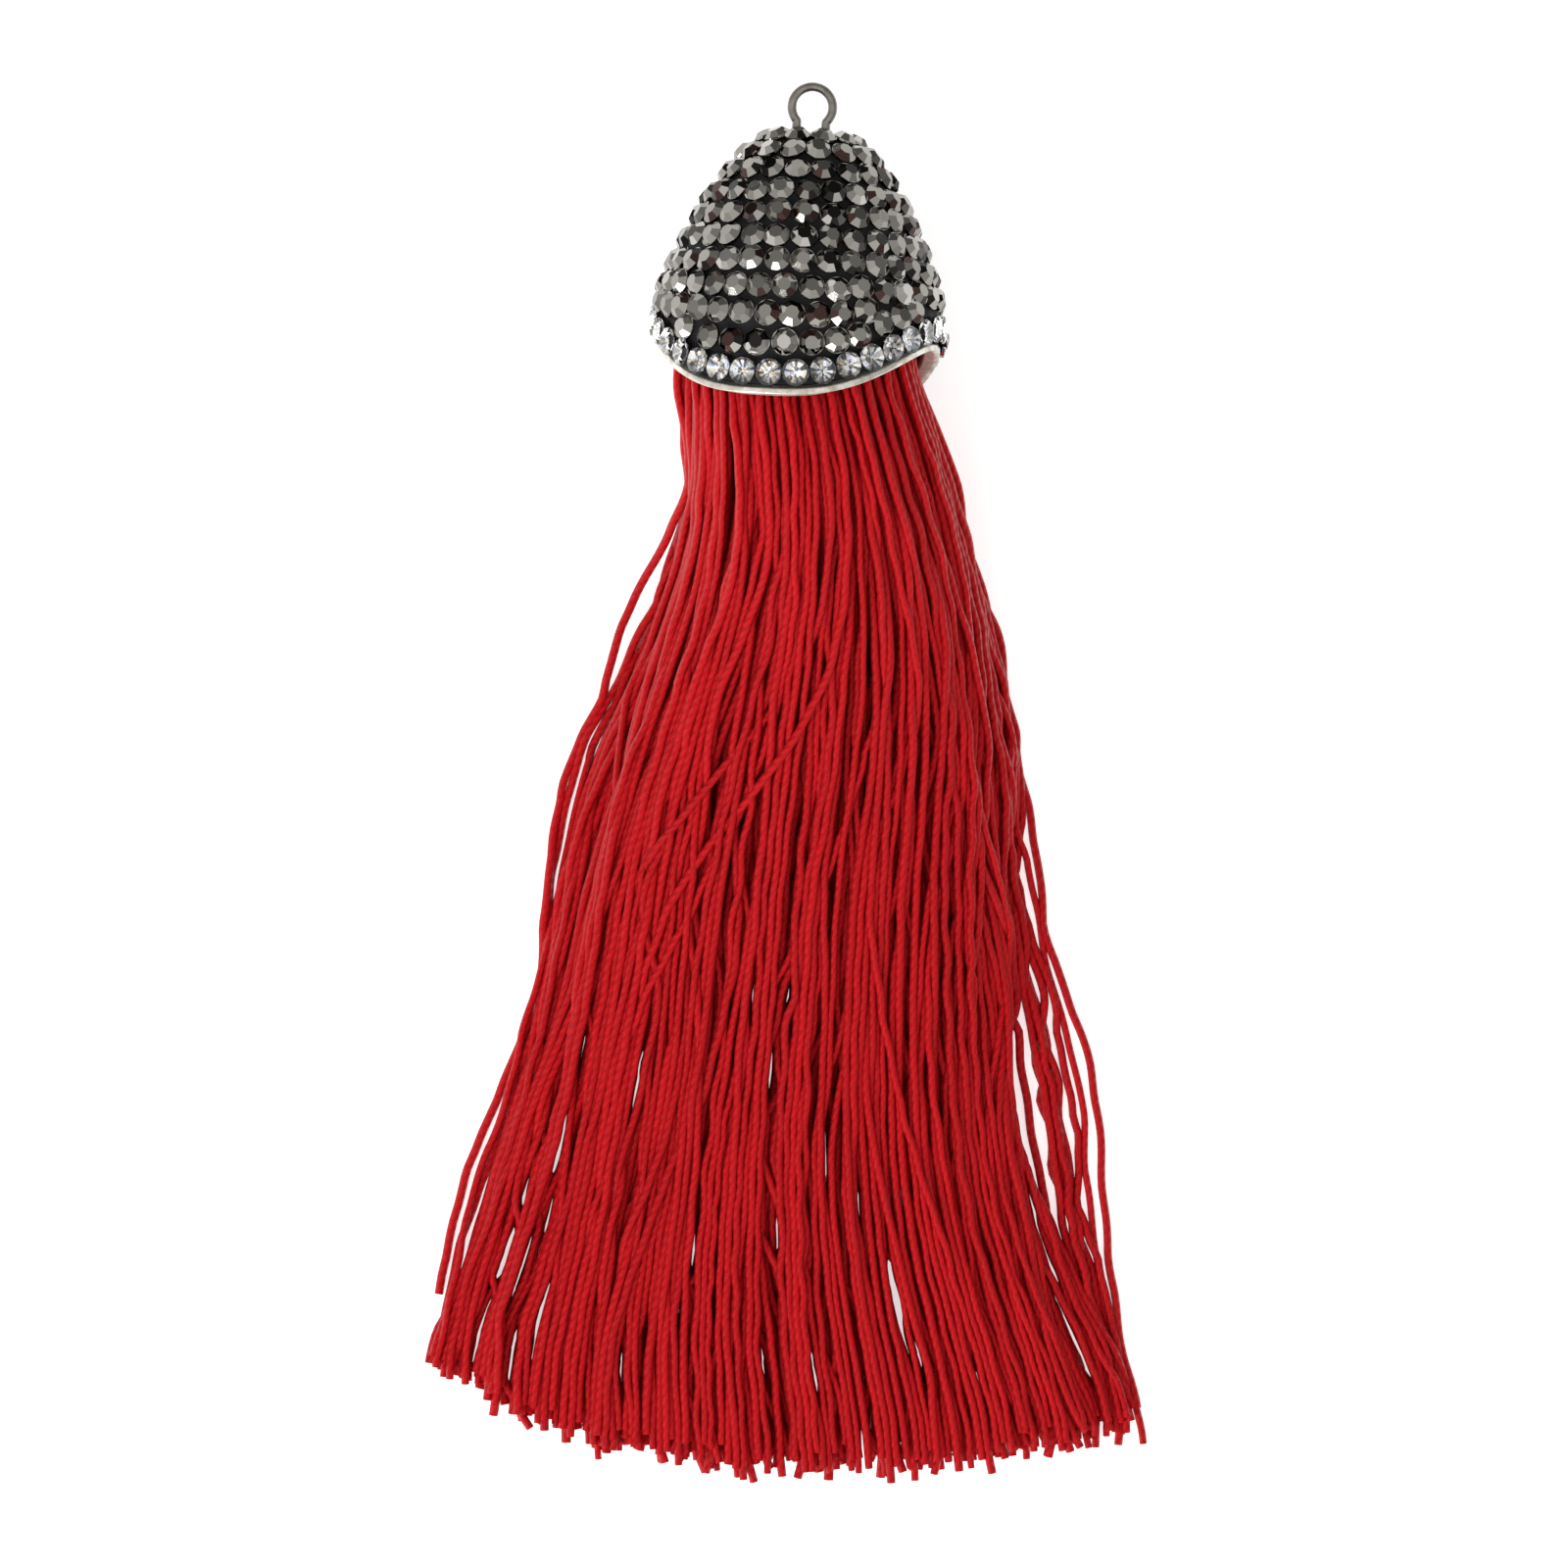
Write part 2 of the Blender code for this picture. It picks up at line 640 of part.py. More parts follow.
def main():
    clear_scene()
    parts = new_collection("jeweled_tassel")
    scrap = new_collection("cutters")
    gunmetal = material("gunmetal_wire", (0.16, 0.155, 0.15), 0.25, 1.0)
    silver = material("silver_cup", (0.78, 0.75, 0.7), 0.2, 1.0)
    clay = material("black_clay_with_grey_stones", (0.05, 0.05, 0.05), 0.35)
    crystal = material("clear_crystal", (0.95, 0.95, 0.95), 0.05, 0.0, 0.8)
    thread = material("red_thread", (0.55, 0.01, 0.02), 0.5)
    cap = [
        make_wire(parts, scrap, gunmetal),
        make_cup(parts, scrap, silver),
        make_clay(parts, scrap, clay),
        *make_crystals(parts, scrap, crystal),
    ]
    for made in cap:
        made.matrix_world = lay_down()
    make_skein(parts, scrap, thread)
    for made in cap[:2]:
        shade_round(made, ROUND_ANGLE)
    for leftover in list(scrap.objects):
        bpy.data.objects.remove(leftover, do_unlink=True)
    centre_on_origin(parts)


main()
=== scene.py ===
"""The looks of a jeweled tassel that lies face up: a cap of black clay with grey stones and a
row of crystals, a silver cup, a wire eye, and a fan of red two-ply threads.

Sizes are in millimetres until a mesh is made. The cap is worked out upright, with its crown at
the origin and its front towards -Y, and is then laid on its back. The threads are worked out
where they lie, in cross-sections along -Y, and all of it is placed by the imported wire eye.
"""

import math

import bmesh
import bpy
import numpy as np
from mathutils import Matrix, Vector


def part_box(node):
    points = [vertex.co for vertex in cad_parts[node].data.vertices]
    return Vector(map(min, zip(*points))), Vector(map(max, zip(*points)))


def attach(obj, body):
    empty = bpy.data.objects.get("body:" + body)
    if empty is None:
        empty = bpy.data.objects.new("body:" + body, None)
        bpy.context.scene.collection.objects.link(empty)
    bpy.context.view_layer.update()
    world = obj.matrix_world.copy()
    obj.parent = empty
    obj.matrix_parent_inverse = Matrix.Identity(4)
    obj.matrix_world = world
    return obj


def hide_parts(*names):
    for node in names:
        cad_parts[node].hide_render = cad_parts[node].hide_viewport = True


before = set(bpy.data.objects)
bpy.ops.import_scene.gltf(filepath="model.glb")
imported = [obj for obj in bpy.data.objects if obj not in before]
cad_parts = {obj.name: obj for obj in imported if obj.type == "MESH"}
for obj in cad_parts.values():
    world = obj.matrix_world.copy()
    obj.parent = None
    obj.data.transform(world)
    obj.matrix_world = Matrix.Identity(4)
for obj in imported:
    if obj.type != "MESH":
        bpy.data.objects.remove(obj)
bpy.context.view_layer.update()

MM = 0.001
SEED = 11

# How the cap lies: its crown, the lean of its axis to the right and its turn about that axis.
CROWN_X = 2.28
CROWN_Y = 55.27
LEAN = math.radians(3.5)
TURN = math.radians(-12.0)

# The cap is a turned bell. This is the outline through the tips of its stones.
CAP_RADIUS = 12.7
BELL_OUTLINE = (
    # depth below the crown, radius
    (0.0, 0.0),
    (0.1, 1.5),
    (0.35, 3.0),
    (0.9, 4.3),
    (2.15, 5.85),
    (3.8, 7.2),
    (5.85, 8.55),
    (8.4, 9.85),
    (11.7, 11.35),
    (15.0, 12.4),
    (18.0, CAP_RADIUS),
    (26.0, CAP_RADIUS),
)
CURVE_STEPS = 20
BELL_POINTS = 400
RING_POINTS = 721

# The mouth is a saddle: it dips at the front and back and is raised at the sides.
MOUTH_DEPTH = 23.5
SADDLE_RISE = 5.1
SADDLE_POWER = 2.8

# Layers of the cap's wall, measured inwards from the tips of the stones.
CLAY_FACE = 0.8
CLAY_FOOT = 1.05
CLAY_BACK = 1.45
CUP_FACE = 1.7
CUP_INSIDE = 2.15
FLANGE_FACE = 0.75
FLANGE_HEIGHT = 0.55
FOOT_LIFT = 0.8
FACE_LIFT = 3.0
FLANGE_ROUNDING = 0.14

# The clay steps in below its face, ends in a small rounding, and is uneven in waves of three sizes.
STEP_DROP = 0.2
STEP_INSET = 0.16
STEP_HEIGHT = 0.34
FOOT_DROP = 0.6
FOOT_ROUNDING = 0.1
FOOT_ROWS = 8
BACK_SHARES = (0.9, 0.7, 0.5, 0.3, 0.15, 0.05)
CLAY_UNEVENNESS = 0.035
CLAY_WAVES = (2.3, 1.1, 0.6)
WAVES_EACH = 6

# How finely the clay and the cup are made, from their first row below the crown down.
WALL_COLUMNS = 320
WALL_ROWS = 84
WALL_START = 0.012
WALL_SPACING = 0.9
CUP_COLUMNS = 160
CUP_ROWS = 30
CUP_START = 0.02
CUP_SPACING = 1.3

# Grey stones. Their rows rise a little towards the sides, keep clear of the crystals, and leave
# out stones where there is no room. The innermost ring makes way for the wire.
STONE_GIRDLE = 1.11
STONE_CUT = (
    # radius, height and corners of each ring, from the table down
    (0.58, 0.0, 8),
    (STONE_GIRDLE, -0.5, 16),
    (STONE_GIRDLE, -0.68, 16),
    (0.7, -1.1, 16),
)
STONE_HEIGHT = 0.75
SMALLEST_STONE = 0.97
LARGEST_STONE = 1.03
STONE_PITCH = 2.13
STONE_ROOM = 2.06
STONE_ROWS = (
    # depth below the crown, rise at the sides, turn from the upper side as a share of the pitch
    (0.75, 0.0, 0.5),
    (2.25, 0.0, 0.35),
    (4.05, 0.0, 0.6),
    (6.0, 0.0, 0.0),
    (8.0, 0.05, 0.0),
    (10.0, 0.15, 0.0),
    (12.15, 0.3, 0.0),
    (14.4, 0.55, 0.4),
    (16.75, 1.35, 0.74),
    (19.2, 3.9, 0.5),
    (0.2, 0.0, 0.5),
)
LOWEST_STONE_LIFT = 4.1
WIRE_ROOM = 1.35
STONE_TILT = math.radians(7.0)
STONE_UNEVENNESS = 0.05
STONE_LEVELLING = 0.6

# Fillers go where the rows leave bare clay above the crystals, at these lifts above the mouth.
# The stones near the mouth are then moved apart until each has its room.
FILLER_TURNS = 360
FILLER_LIFTS = (3.8, 4.2, 4.6, 5.0, 5.4, 5.8, 6.2)
FILLER_ROOM = 1.75
FILLER_CRYSTAL_ROOM = 1.85
SETTLE_DEPTH = 11.0
SETTLE_ROUNDS = 60
SETTLE_FORCE = 0.25
SETTLED_ROOM = 2.12
SETTLED_CRYSTAL_ROOM = 2.2

# One row of crystals along the mouth, each with a clear crown over a dish of foil.
CRYSTALS = 36
CRYSTAL_LIFT = 1.8
CRYSTAL_ROOM = 2.27
CRYSTAL_GIRDLE = 1.12
CRYSTAL_DEPTH = 0.1
CRYSTAL_RAYS = 22
CRYSTAL_TILT = math.radians(5.0)
CROWN_CUT = (
    (0.65, 0.0, 8),
    (CRYSTAL_GIRDLE, -0.2, 16),
    (CRYSTAL_GIRDLE, -0.27, 16),
    (CRYSTAL_GIRDLE * 0.98, -0.28, 16),
)
FOIL_CUT = (
    (0.1, -0.5, CRYSTAL_RAYS),
    (CRYSTAL_GIRDLE * 0.4, -0.47, CRYSTAL_RAYS),
    (CRYSTAL_GIRDLE * 0.97, -0.3, CRYSTAL_RAYS),
    (CRYSTAL_GIRDLE * 0.9, -0.5, CRYSTAL_RAYS),
    (0.2, -0.9, CRYSTAL_RAYS),
)
LIP_HEIGHT = 0.13
LIP_WIDTH = 0.17
LIP_GAP = 0.14

# The wire eye, with two legs that pass through the crown.
WIRE = 0.75
EYE_RADIUS = 1.71
EYE_HEIGHT = 1.55
LEG_SPREAD = 1.22
LEG_DEPTH = 4.9
LEG_TOP = 0.2
LEG_POINTS = 10
EYE_POINTS = 56
WIRE_FINENESS = 4
MERGE_DISTANCE = 0.001

# The skein: its cross-sections, and how its threads gather in locks once they are free of the cup.
# No thread goes past EDGE, which is just inside the rim of the unit disc.
THREADS = 520
THREAD_RADIUS = 0.3
THREAD_UNEVENNESS = 0.09
LOCKS = 96
STATION_STEP = 1.5
SECTIONS = (
    # along, left edge, right edge, underside, top, sag
    (43.4, -7.2, 10.0, 4.2, 21.0, 0.0),
    (38.0, -8.5, 10.6, 3.4, 21.7, 0.0),
    (33.4, -9.0, 11.4, 2.8, 22.4, 0.05),
    (29.2, -8.5, 13.3, 2.0, 21.8, 0.15),
    (25.1, -8.1, 14.8, 0.9, 20.3, 0.4),
    (20.9, -8.7, 15.9, 0.0, 18.4, 0.7),
    (16.7, -10.1, 17.1, 0.0, 16.6, 0.9),
    (12.5, -12.0, 18.1, 0.0, 14.8, 1.0),
    (8.4, -13.7, 18.9, 0.0, 13.3, 1.0),
    (0.0, -17.0, 20.1, 0.0, 10.9, 1.0),
    (-8.3, -19.2, 19.8, 0.0, 9.1, 1.0),
    (-16.6, -20.6, 20.2, 0.0, 7.6, 1.0),
    (-25.0, -22.5, 20.7, 0.0, 6.5, 1.0),
    (-29.3, -23.7, 21.2, 0.0, 6.1, 1.0),
    (-33.3, -25.0, 22.2, 0.0, 5.7, 1.0),
    (-37.7, -26.3, 23.4, 0.0, 5.3, 1.0),
    (-41.8, -27.8, 24.9, 0.0, 5.0, 1.0),
    (-46.0, -29.8, 27.0, 0.0, 4.8, 1.0),
    (-50.0, -30.9, 29.0, 0.0, 4.6, 1.0),
    (-54.0, -31.4, 30.6, 0.0, 4.4, 1.0),
    (-60.2, -31.9, 31.6, 0.0, 4.2, 1.0),
)
SPREAD = 0.9
EDGE = 0.999
LOCK_SPREAD = 0.98
CLING = 0.62
CLING_MEAN = 0.55
CLING_SWING = 0.45
RELEASED_AT = 30.0
FREE_AT = 4.0

# How far locks and threads drift from their places, and how long the waves are that they follow.
LOCK_DRIFT = 0.9
THREAD_DRIFT = 0.85
HELD_DRIFT = 0.25
UPWARD_DRIFT = 0.5
WAVE = 0.07
CLING_WAVES = (60, 35)
LOCK_WAVES = (70, 38)
ACROSS_WAVES = (36, 19)
UPWARD_WAVES = (40, 22)
SHORT_WAVES = (6.5, 4.5)
WAVE_RANGE = (0.75, 1.3)

# How the threads are combed until each has its room.
COMB_ROUNDS = 90
PAIRS_KEPT = 8
COMB_FORCE = 0.3
COMB_PULL = 0.02
COMB_STIFFNESS = 0.12
NEIGHBOUR_REACH = 1.1
CUP_ROOM = 10.3
CUP_END = 31.5

# Threads on top that cross the others, most of them from the middle towards the left edge.
SWEEPS = (
    # start along, end along, place across the skein at the start, at the end
    (17.0, -12.0, 0.04, -0.70),
    (13.0, -16.0, 0.12, -0.58),
    (9.0, -30.0, -0.16, -0.66),
    (2.0, -30.0, 0.26, -0.20),
    (-6.0, -44.0, 0.34, 0.60),
    (-14.0, -50.0, -0.20, -0.48),
)

# More threads on top that wander a little sideways, with their ranges.
WANDERERS = 70
WANDER_STARTS = (-36, 24)
WANDER_PLACES = (-0.85, 0.85)
WANDER_RUNS = (13, 28)
WANDER_VEER = 0.055
WANDER_EDGE = 0.92
WANDER_RISE = 12
WANDER_NEAR = 0.08

# Lens-shaped partings where the surface under the tassel shows between the locks. Each follows
# the fan of the threads.
PARTINGS = (
    # across, along, half width, half length
    (-2.7, -18.6, 0.15, 1.1),
    (0.4, -18.8, 0.15, 1.6),
    (0.5, -21.6, 0.1, 0.9),
    (-1.1, -24.4, 0.18, 1.3),
    (-17.3, -22.9, 0.14, 1.2),
    (-12.5, -25.2, 0.17, 2.6),
    (-19.6, -27.2, 0.12, 1.1),
    (-19.4, -32.0, 0.15, 1.5),
    (-17.8, -30.6, 0.12, 1.1),
    (-22.3, -35.2, 0.15, 1.5),
    (3.6, -32.0, 0.15, 2.6),
    (6.4, -35.6, 0.13, 2.0),
    (-0.6, -38.4, 0.12, 1.0),
    (9.7, -44.6, 0.34, 4.0),
    (11.6, -49.0, 0.2, 1.4),
    (20.1, -27.2, 0.3, 6.0),
    (21.3, -36.0, 0.14, 2.0),
    (22.5, -40.2, 0.12, 1.4),
    (24.7, -47.0, 0.22, 3.4),
    (-22.4, -41.2, 0.2, 3.4),
    (-24.9, -43.2, 0.3, 5.4),
    (-20.4, -37.8, 0.15, 1.8),
    (-21.0, -45.6, 0.2, 3.0),
    (-23.4, -49.0, 0.2, 2.0),
    (-26.2, -47.2, 0.18, 2.2),
    (-7.8, -40.2, 0.13, 1.4),
    (-9.0, -45.6, 0.1, 1.0),
    (-14.0, -49.2, 0.12, 1.0),
    (-1.8, -49.6, 0.14, 1.2),
    (2.6, -50.4, 0.16, 1.4),
    (16.6, -50.8, 0.12, 1.0),
)
PARTING_REACH = 2.2
PARTING_PUSH = 1.5

# Single threads that leave the skein: on which side, and their way as (along, across).
STRAYS = (
    ("left", ((25.1, -8.1), (20.9, -10.0), (16.7, -12.5), (12.6, -14.3), (9.2, -15.2), (7.8, -15.4),
              (4.2, -17.4), (0.1, -19.0), (-4.1, -19.8), (-12.4, -20.7), (-17.5, -20.9),
              (-20.8, -22.1), (-24.9, -23.8), (-33.2, -27.3), (-39.5, -28.9), (-43.8, -29.7))),
    ("left", ((16.0, -10.6), (12.6, -12.7), (8.4, -14.4), (4.2, -17.0), (-1.0, -18.6),
              (-8.3, -20.1), (-15.0, -20.5), (-20.8, -21.4), (-27.0, -23.4), (-33.2, -25.6),
              (-39.5, -27.9), (-45.8, -29.2), (-51.0, -30.5))),
    ("left", ((14.0, -11.2), (8.0, -13.9), (4.8, -15.9), (0.5, -17.3), (-5.0, -18.6),
              (-12.0, -19.9), (-22.0, -21.6), (-30.0, -24.0), (-38.0, -26.4), (-49.0, -29.6))),
    ("left", ((18.0, -9.6), (12.0, -12.3), (7.4, -14.3), (3.0, -16.6), (-3.0, -17.6),
              (-9.0, -19.3), (-18.0, -20.6))),
    ("left", ((-14.0, -20.3), (-21.0, -22.4), (-27.0, -23.8), (-35.0, -26.8), (-42.0, -28.2),
              (-50.5, -30.0))),
    ("right", ((8.4, 19.0), (3.0, 19.9), (-2.0, 21.0), (-6.2, 21.8), (-12.4, 22.4), (-16.6, 23.7),
               (-20.8, 25.4), (-24.9, 26.5), (-29.1, 27.1), (-37.4, 27.6), (-45.8, 28.6),
               (-49.9, 29.4), (-54.1, 30.5))),
    ("right", ((2.0, 19.7), (-4.1, 19.9), (-6.2, 20.8), (-10.8, 21.8), (-14.4, 22.3), (-20.8, 24.1),
               (-24.9, 25.2), (-29.1, 25.9), (-33.2, 25.9), (-37.4, 26.5), (-44.0, 27.3),
               (-50.8, 28.9), (-54.1, 29.9))),
    ("right", ((-6.0, 19.4), (-10.8, 19.8), (-14.5, 21.1), (-17.4, 22.5), (-20.8, 22.0),
               (-25.0, 23.5), (-29.0, 23.7), (-33.0, 24.6), (-40.0, 25.2), (-47.0, 26.6),
               (-54.0, 28.8))),
    ("right", ((-8.0, 19.3), (-12.4, 19.7), (-16.6, 20.4), (-19.4, 22.1), (-23.6, 21.5),
               (-28.0, 23.0), (-33.0, 23.0), (-38.0, 25.4), (-44.0, 26.0), (-53.0, 28.4))),
    ("right", ((-9.0, 19.3), (-14.0, 20.0), (-18.7, 21.7), (-22.8, 22.8), (-27.0, 22.0),
               (-31.0, 23.6), (-36.0, 24.2), (-42.0, 26.6), (-48.0, 27.4), (-54.5, 29.4))),
    ("right", ((-8.0, 19.6), (-14.0, 20.1), (-20.0, 21.0), (-26.0, 22.3), (-32.0, 23.2),
               (-38.0, 24.0), (-44.0, 25.6), (-53.0, 28.9))),
    ("right", ((-7.0, 19.5), (-12.0, 20.6), (-17.0, 20.9), (-22.0, 22.2), (-27.0, 23.1),
               (-33.0, 24.2), (-39.0, 24.9), (-46.0, 27.0), (-54.0, 30.2))),
    ("right", ((-5.0, 19.4), (-9.0, 20.2), (-13.0, 21.2), (-18.0, 23.2), (-22.0, 23.6),
               (-26.6, 24.6), (-31.0, 25.4), (-36.0, 25.2), (-41.0, 27.0), (-50.0, 29.0))),
)

# A stray leaves its place over STRAY_BLEND, lies on the floor from STRAY_LANDS on, and keeps its
# own end if that lies before SHORT_STRAY.
STRAY_BLEND = 7.0
STRAY_LANDS = -10.0
SHORT_STRAY = -46

# Where the threads are cut off.
CUT_LINE = (
    # across, along
    (-31.0, -48.5),
    (-29.5, -49.2),
    (-25.0, -51.8),
    (-20.0, -54.0),
    (-8.0, -56.9),
    (12.0, -57.3),
    (22.0, -56.0),
    (31.0, -53.8),
)
CUT_UNEVENNESS = 1.1
CUT_REACH = 0.5
LONGEST_REACH = 1.8
LONGEST_ACROSS = -3.2
LONGEST_END = -59.6
SHORTEST_STEP = 0.3
CUT_STATION = -4

# How finely the threads are made, the best seen ones most of all.
SHOWN_THREADS = 320
SHOWN_STEP = 0.8
SHOWN_SIDES = 6
SHOWN_SWELL = 1.12
HIDDEN_STEP = 2.0
HIDDEN_SIDES = 5
HIDDEN_SWELL = 1.4
TWIST_LENGTH = 1.9
PIECES_OF_SHOWN = 4

# What is seen from above is counted in cells across, from the first station outside the cup.
SEEN_CELL = 0.12
SEEN_FROM = 6

# The studio: a floor just under the tassel, and one soft lamp, in metres and watts.
FLOOR_HALF_WIDTH = 3.0
FLOOR_GAP = 0.1 * MM
LAMP_PLACE = (-0.42, -0.6, 0.42)
LAMP_WIDTH = 0.5
LAMP_DEPTH = 0.4
LAMP_POWER = 4.2

# The camera looks straight down, and the photograph's middle is given from the crown.
CAMERA_ACROSS = -2.28
CAMERA_ALONG = -55.2
CAMERA_HEIGHT = 486.0
CAMERA_LENS = 129.6
CAMERA_CLIP = (0.01, 20.0)
SENSOR = 36.0


def add(tree, kind, inputs=None, **settings):
    """A node with its settings made and its inputs set or linked."""
    made = tree.nodes.new(kind)
    for name, value in settings.items():
        setattr(made, name, value)
    for name, value in (inputs or {}).items():
        if isinstance(value, bpy.types.NodeSocket):
            tree.links.new(value, made.inputs[name])
        else:
            made.inputs[name].default_value = value
    return made


def result(tree, kind, inputs=None, **settings):
    """The first output of a new node."""
    return add(tree, kind, inputs, **settings).outputs[0]


def maths(tree, operation, *values, clamp=False):
    inputs = dict(enumerate(values))
    return result(tree, "ShaderNodeMath", inputs, operation=operation, use_clamp=clamp)


def spread(tree, value, low, high, start=0.0, end=1.0):
    """A value that goes from low to high while another goes from start to end."""
    return result(tree, "ShaderNodeMapRange", {0: value, 1: start, 2: end, 3: low, 4: high})


def vector(tree, *parts):
    return result(tree, "ShaderNodeCombineXYZ", dict(enumerate(parts)))


def colour(red, green, blue):
    return (red, green, blue, 1.0)


def blend_colours(tree, share, first, second):
    """A mix of two colours, by a share from 0 to 1."""
    made = add(tree, "ShaderNodeMix", {0: share, 6: first, 7: second}, data_type="RGBA")
    return made.outputs[2]


def repaint(tree, base, *rules):
    """A base colour with another wherever a rule of value, test, limit and colour holds."""
    for value, test, limit, other in rules:
        base = blend_colours(tree, maths(tree, test, value, limit), base, colour(*other))
    return base


def join(tree, node, **sockets):
    """Links values to a node's inputs, with an underscore for each space in their names."""
    for label, socket in sockets.items():
        tree.links.new(socket, node.inputs[label.replace("_", " ")])


def new_group(name, kind, inputs, outputs):
    """A node group with named sockets; returns it with its given values and its output node."""
    tree = bpy.data.node_groups.new(name, kind)
    for direction, sockets in (("INPUT", inputs), ("OUTPUT", outputs)):
        for label, (socket_kind, default) in sockets.items():
            socket = tree.interface.new_socket(label, in_out=direction, socket_type=socket_kind)
            if default is not None:
                socket.default_value = default
    return tree, tree.nodes.new("NodeGroupInput").outputs, tree.nodes.new("NodeGroupOutput")


FLOAT = "NodeSocketFloat"


def carried(tree, name, output="Fac"):
    """A value that the mesh carries."""
    return add(tree, "ShaderNodeAttribute", attribute_name=name).outputs[output]


def noise(tree, scale, detail, where=None, roughness=0.5):
    """Noise in a piece's own coordinates, or in the given ones."""
    if where is None:
        where = add(tree, "ShaderNodeTexCoord").outputs["Object"]
    return result(tree, "ShaderNodeTexNoise", {"Vector": where, "Scale": scale, "Detail": detail,
                                               "Roughness": roughness})


def grain_group():
    """Uneven grain in two sizes, as a mask for wear and a height for relief."""
    tree, given, out = new_group(
        "grain",
        "ShaderNodeTree",
        {"Coarse": (FLOAT, 900.0), "Fine": (FLOAT, 5000.0)},
        {"Mask": (FLOAT, None), "Height": (FLOAT, None)},
    )
    patches = noise(tree, given["Coarse"], 3.0, roughness=0.6)
    height = maths(tree, "MULTIPLY_ADD", patches, 0.5, noise(tree, given["Fine"], 2.0))
    join(tree, out, Mask=spread(tree, patches, 0.0, 1.0, 0.38, 0.68), Height=height)
    return tree


def ply_group():
    """Two twisted plies: how deep in their groove a point is, their relief and their fibres."""
    tree, given, out = new_group(
        "two_plies",
        "ShaderNodeTree",
        {"Fibres": (FLOAT, 26.0)},
        {name: (FLOAT, None) for name in ("Groove", "Height", "Fibre", "Tone")},
    )
    around = add(tree, "ShaderNodeSeparateXYZ", {0: carried(tree, "around", "Vector")}).outputs
    twist, along, shade = (carried(tree, name) for name in ("twist", "along", "shade"))
    first = maths(tree, "MULTIPLY", around[0], maths(tree, "COSINE", twist))
    across = maths(tree, "MULTIPLY_ADD", around[1], maths(tree, "SINE", twist), first)
    ridge = maths(tree, "MULTIPLY", across, across)
    groove = maths(tree, "SUBTRACT", 1.0, ridge, clamp=True)
    # Fibres are drawn out along the thread, and differ from thread to thread.
    lines = vector(tree, maths(tree, "MULTIPLY", across, 2.2), maths(tree, "MULTIPLY", along, 0.35),
                   maths(tree, "MULTIPLY", shade, 90.0))
    fibre = noise(tree, given["Fibres"], 3.0, where=lines)
    height = maths(tree, "MULTIPLY_ADD", fibre, 0.3, ridge)
    join(tree, out, Groove=groove, Height=height, Fibre=fibre, Tone=shade)
    return tree


GRAIN = grain_group()
PLIES = ply_group()


def grain_of(tree, coarse, fine):
    """The grain group's outputs, for grain of the given sizes."""
    return add(tree, "ShaderNodeGroup", {"Coarse": coarse, "Fine": fine}, node_tree=GRAIN).outputs


def new_material(name, **values):
    """A material, its tree and its Principled shader, with plain values on the shader."""
    made = bpy.data.materials.new(name)
    made.use_nodes = True
    shader = made.node_tree.nodes["Principled BSDF"]
    for label, value in values.items():
        shader.inputs[label.replace("_", " ")].default_value = value
    return made, made.node_tree, shader


def relief(tree, shader, height, distance, strength=1.0):
    """Bumps on a finish, as high as the given distance."""
    bump = result(tree, "ShaderNodeBump",
                  {"Height": height, "Distance": distance * MM, "Strength": strength})
    join(tree, shader, Normal=bump)


def worn_finish(name, main, patches, roughness, grain_sizes, depth, **values):
    """A finish with patches in another colour and roughness, and a fine relief."""
    made, tree, shader = new_material(name, **values)
    grain = grain_of(tree, *grain_sizes)
    base = blend_colours(tree, grain["Mask"], colour(*main), colour(*patches))
    join(tree, shader, Base_Color=base, Roughness=spread(tree, grain["Mask"], *roughness))
    relief(tree, shader, grain["Height"], depth)
    return made


def gunmetal():
    return worn_finish("gunmetal_wire", (0.26, 0.24, 0.215), (0.15, 0.137, 0.12), (0.24, 0.42),
                       (600.0, 6000.0), 0.01, Metallic=0.8)


def silver():
    return worn_finish("silver_cup", (0.76, 0.73, 0.67), (0.42, 0.375, 0.31), (0.16, 0.38),
                       (900.0, 6000.0), 0.01, Metallic=0.6)


def black_clay():
    return worn_finish("black_clay", (0.006, 0.006, 0.007), (0.016, 0.015, 0.016), (0.5, 0.8),
                       (420.0, 5200.0), 0.03, Specular_IOR_Level=0.15)


def red_thread():
    """Two-ply thread with a silky sheen, painted darker in its grooves as shade, and with painted
    highlights on bright fibres.
    """
    made, tree, shader = new_material(
        "red_thread", Specular_IOR_Level=0.45, Specular_Tint=colour(1.0, 0.2, 0.2),
        Sheen_Weight=0.04, Sheen_Roughness=0.4, Sheen_Tint=colour(1.0, 0.3, 0.3),
        Subsurface_Weight=0.2, Subsurface_Radius=(1.0, 0.06, 0.05), Subsurface_Scale=0.5 * MM,
    )
    plies = add(tree, "ShaderNodeGroup", node_tree=PLIES).outputs
    lit = blend_colours(tree, plies["Tone"], colour(0.41, 0.0018, 0.0052),
                        colour(0.53, 0.0028, 0.0075))
    # Painted shade: the colour darkens towards the bottom of the groove between the plies.
    deep = maths(tree, "MULTIPLY", plies["Groove"], 0.5)
    ply = blend_colours(tree, deep, lit, colour(0.3, 0.0008, 0.0018))
    # Painted sheen: the brightest fibres are painted a lighter red, as small highlights.
    painted_sheen_flecks = spread(tree, plies["Fibre"], 0.0, 0.6, 0.5, 0.78)
    join(tree, shader, Base_Color=blend_colours(tree, painted_sheen_flecks, ply, colour(0.7, 0.04, 0.05)),
         Roughness=spread(tree, plies["Fibre"], 0.3, 0.5))
    relief(tree, shader, plies["Height"], 0.07)
    return made


def facet_chance(tree):
    """A value from 0 to 1 that differs from facet to facet, and one from stone to stone."""
    tone = carried(tree, "tone")
    both = maths(tree, "MULTIPLY_ADD", tone, 7.3, carried(tree, "facet"))
    return maths(tree, "FRACT", both), tone


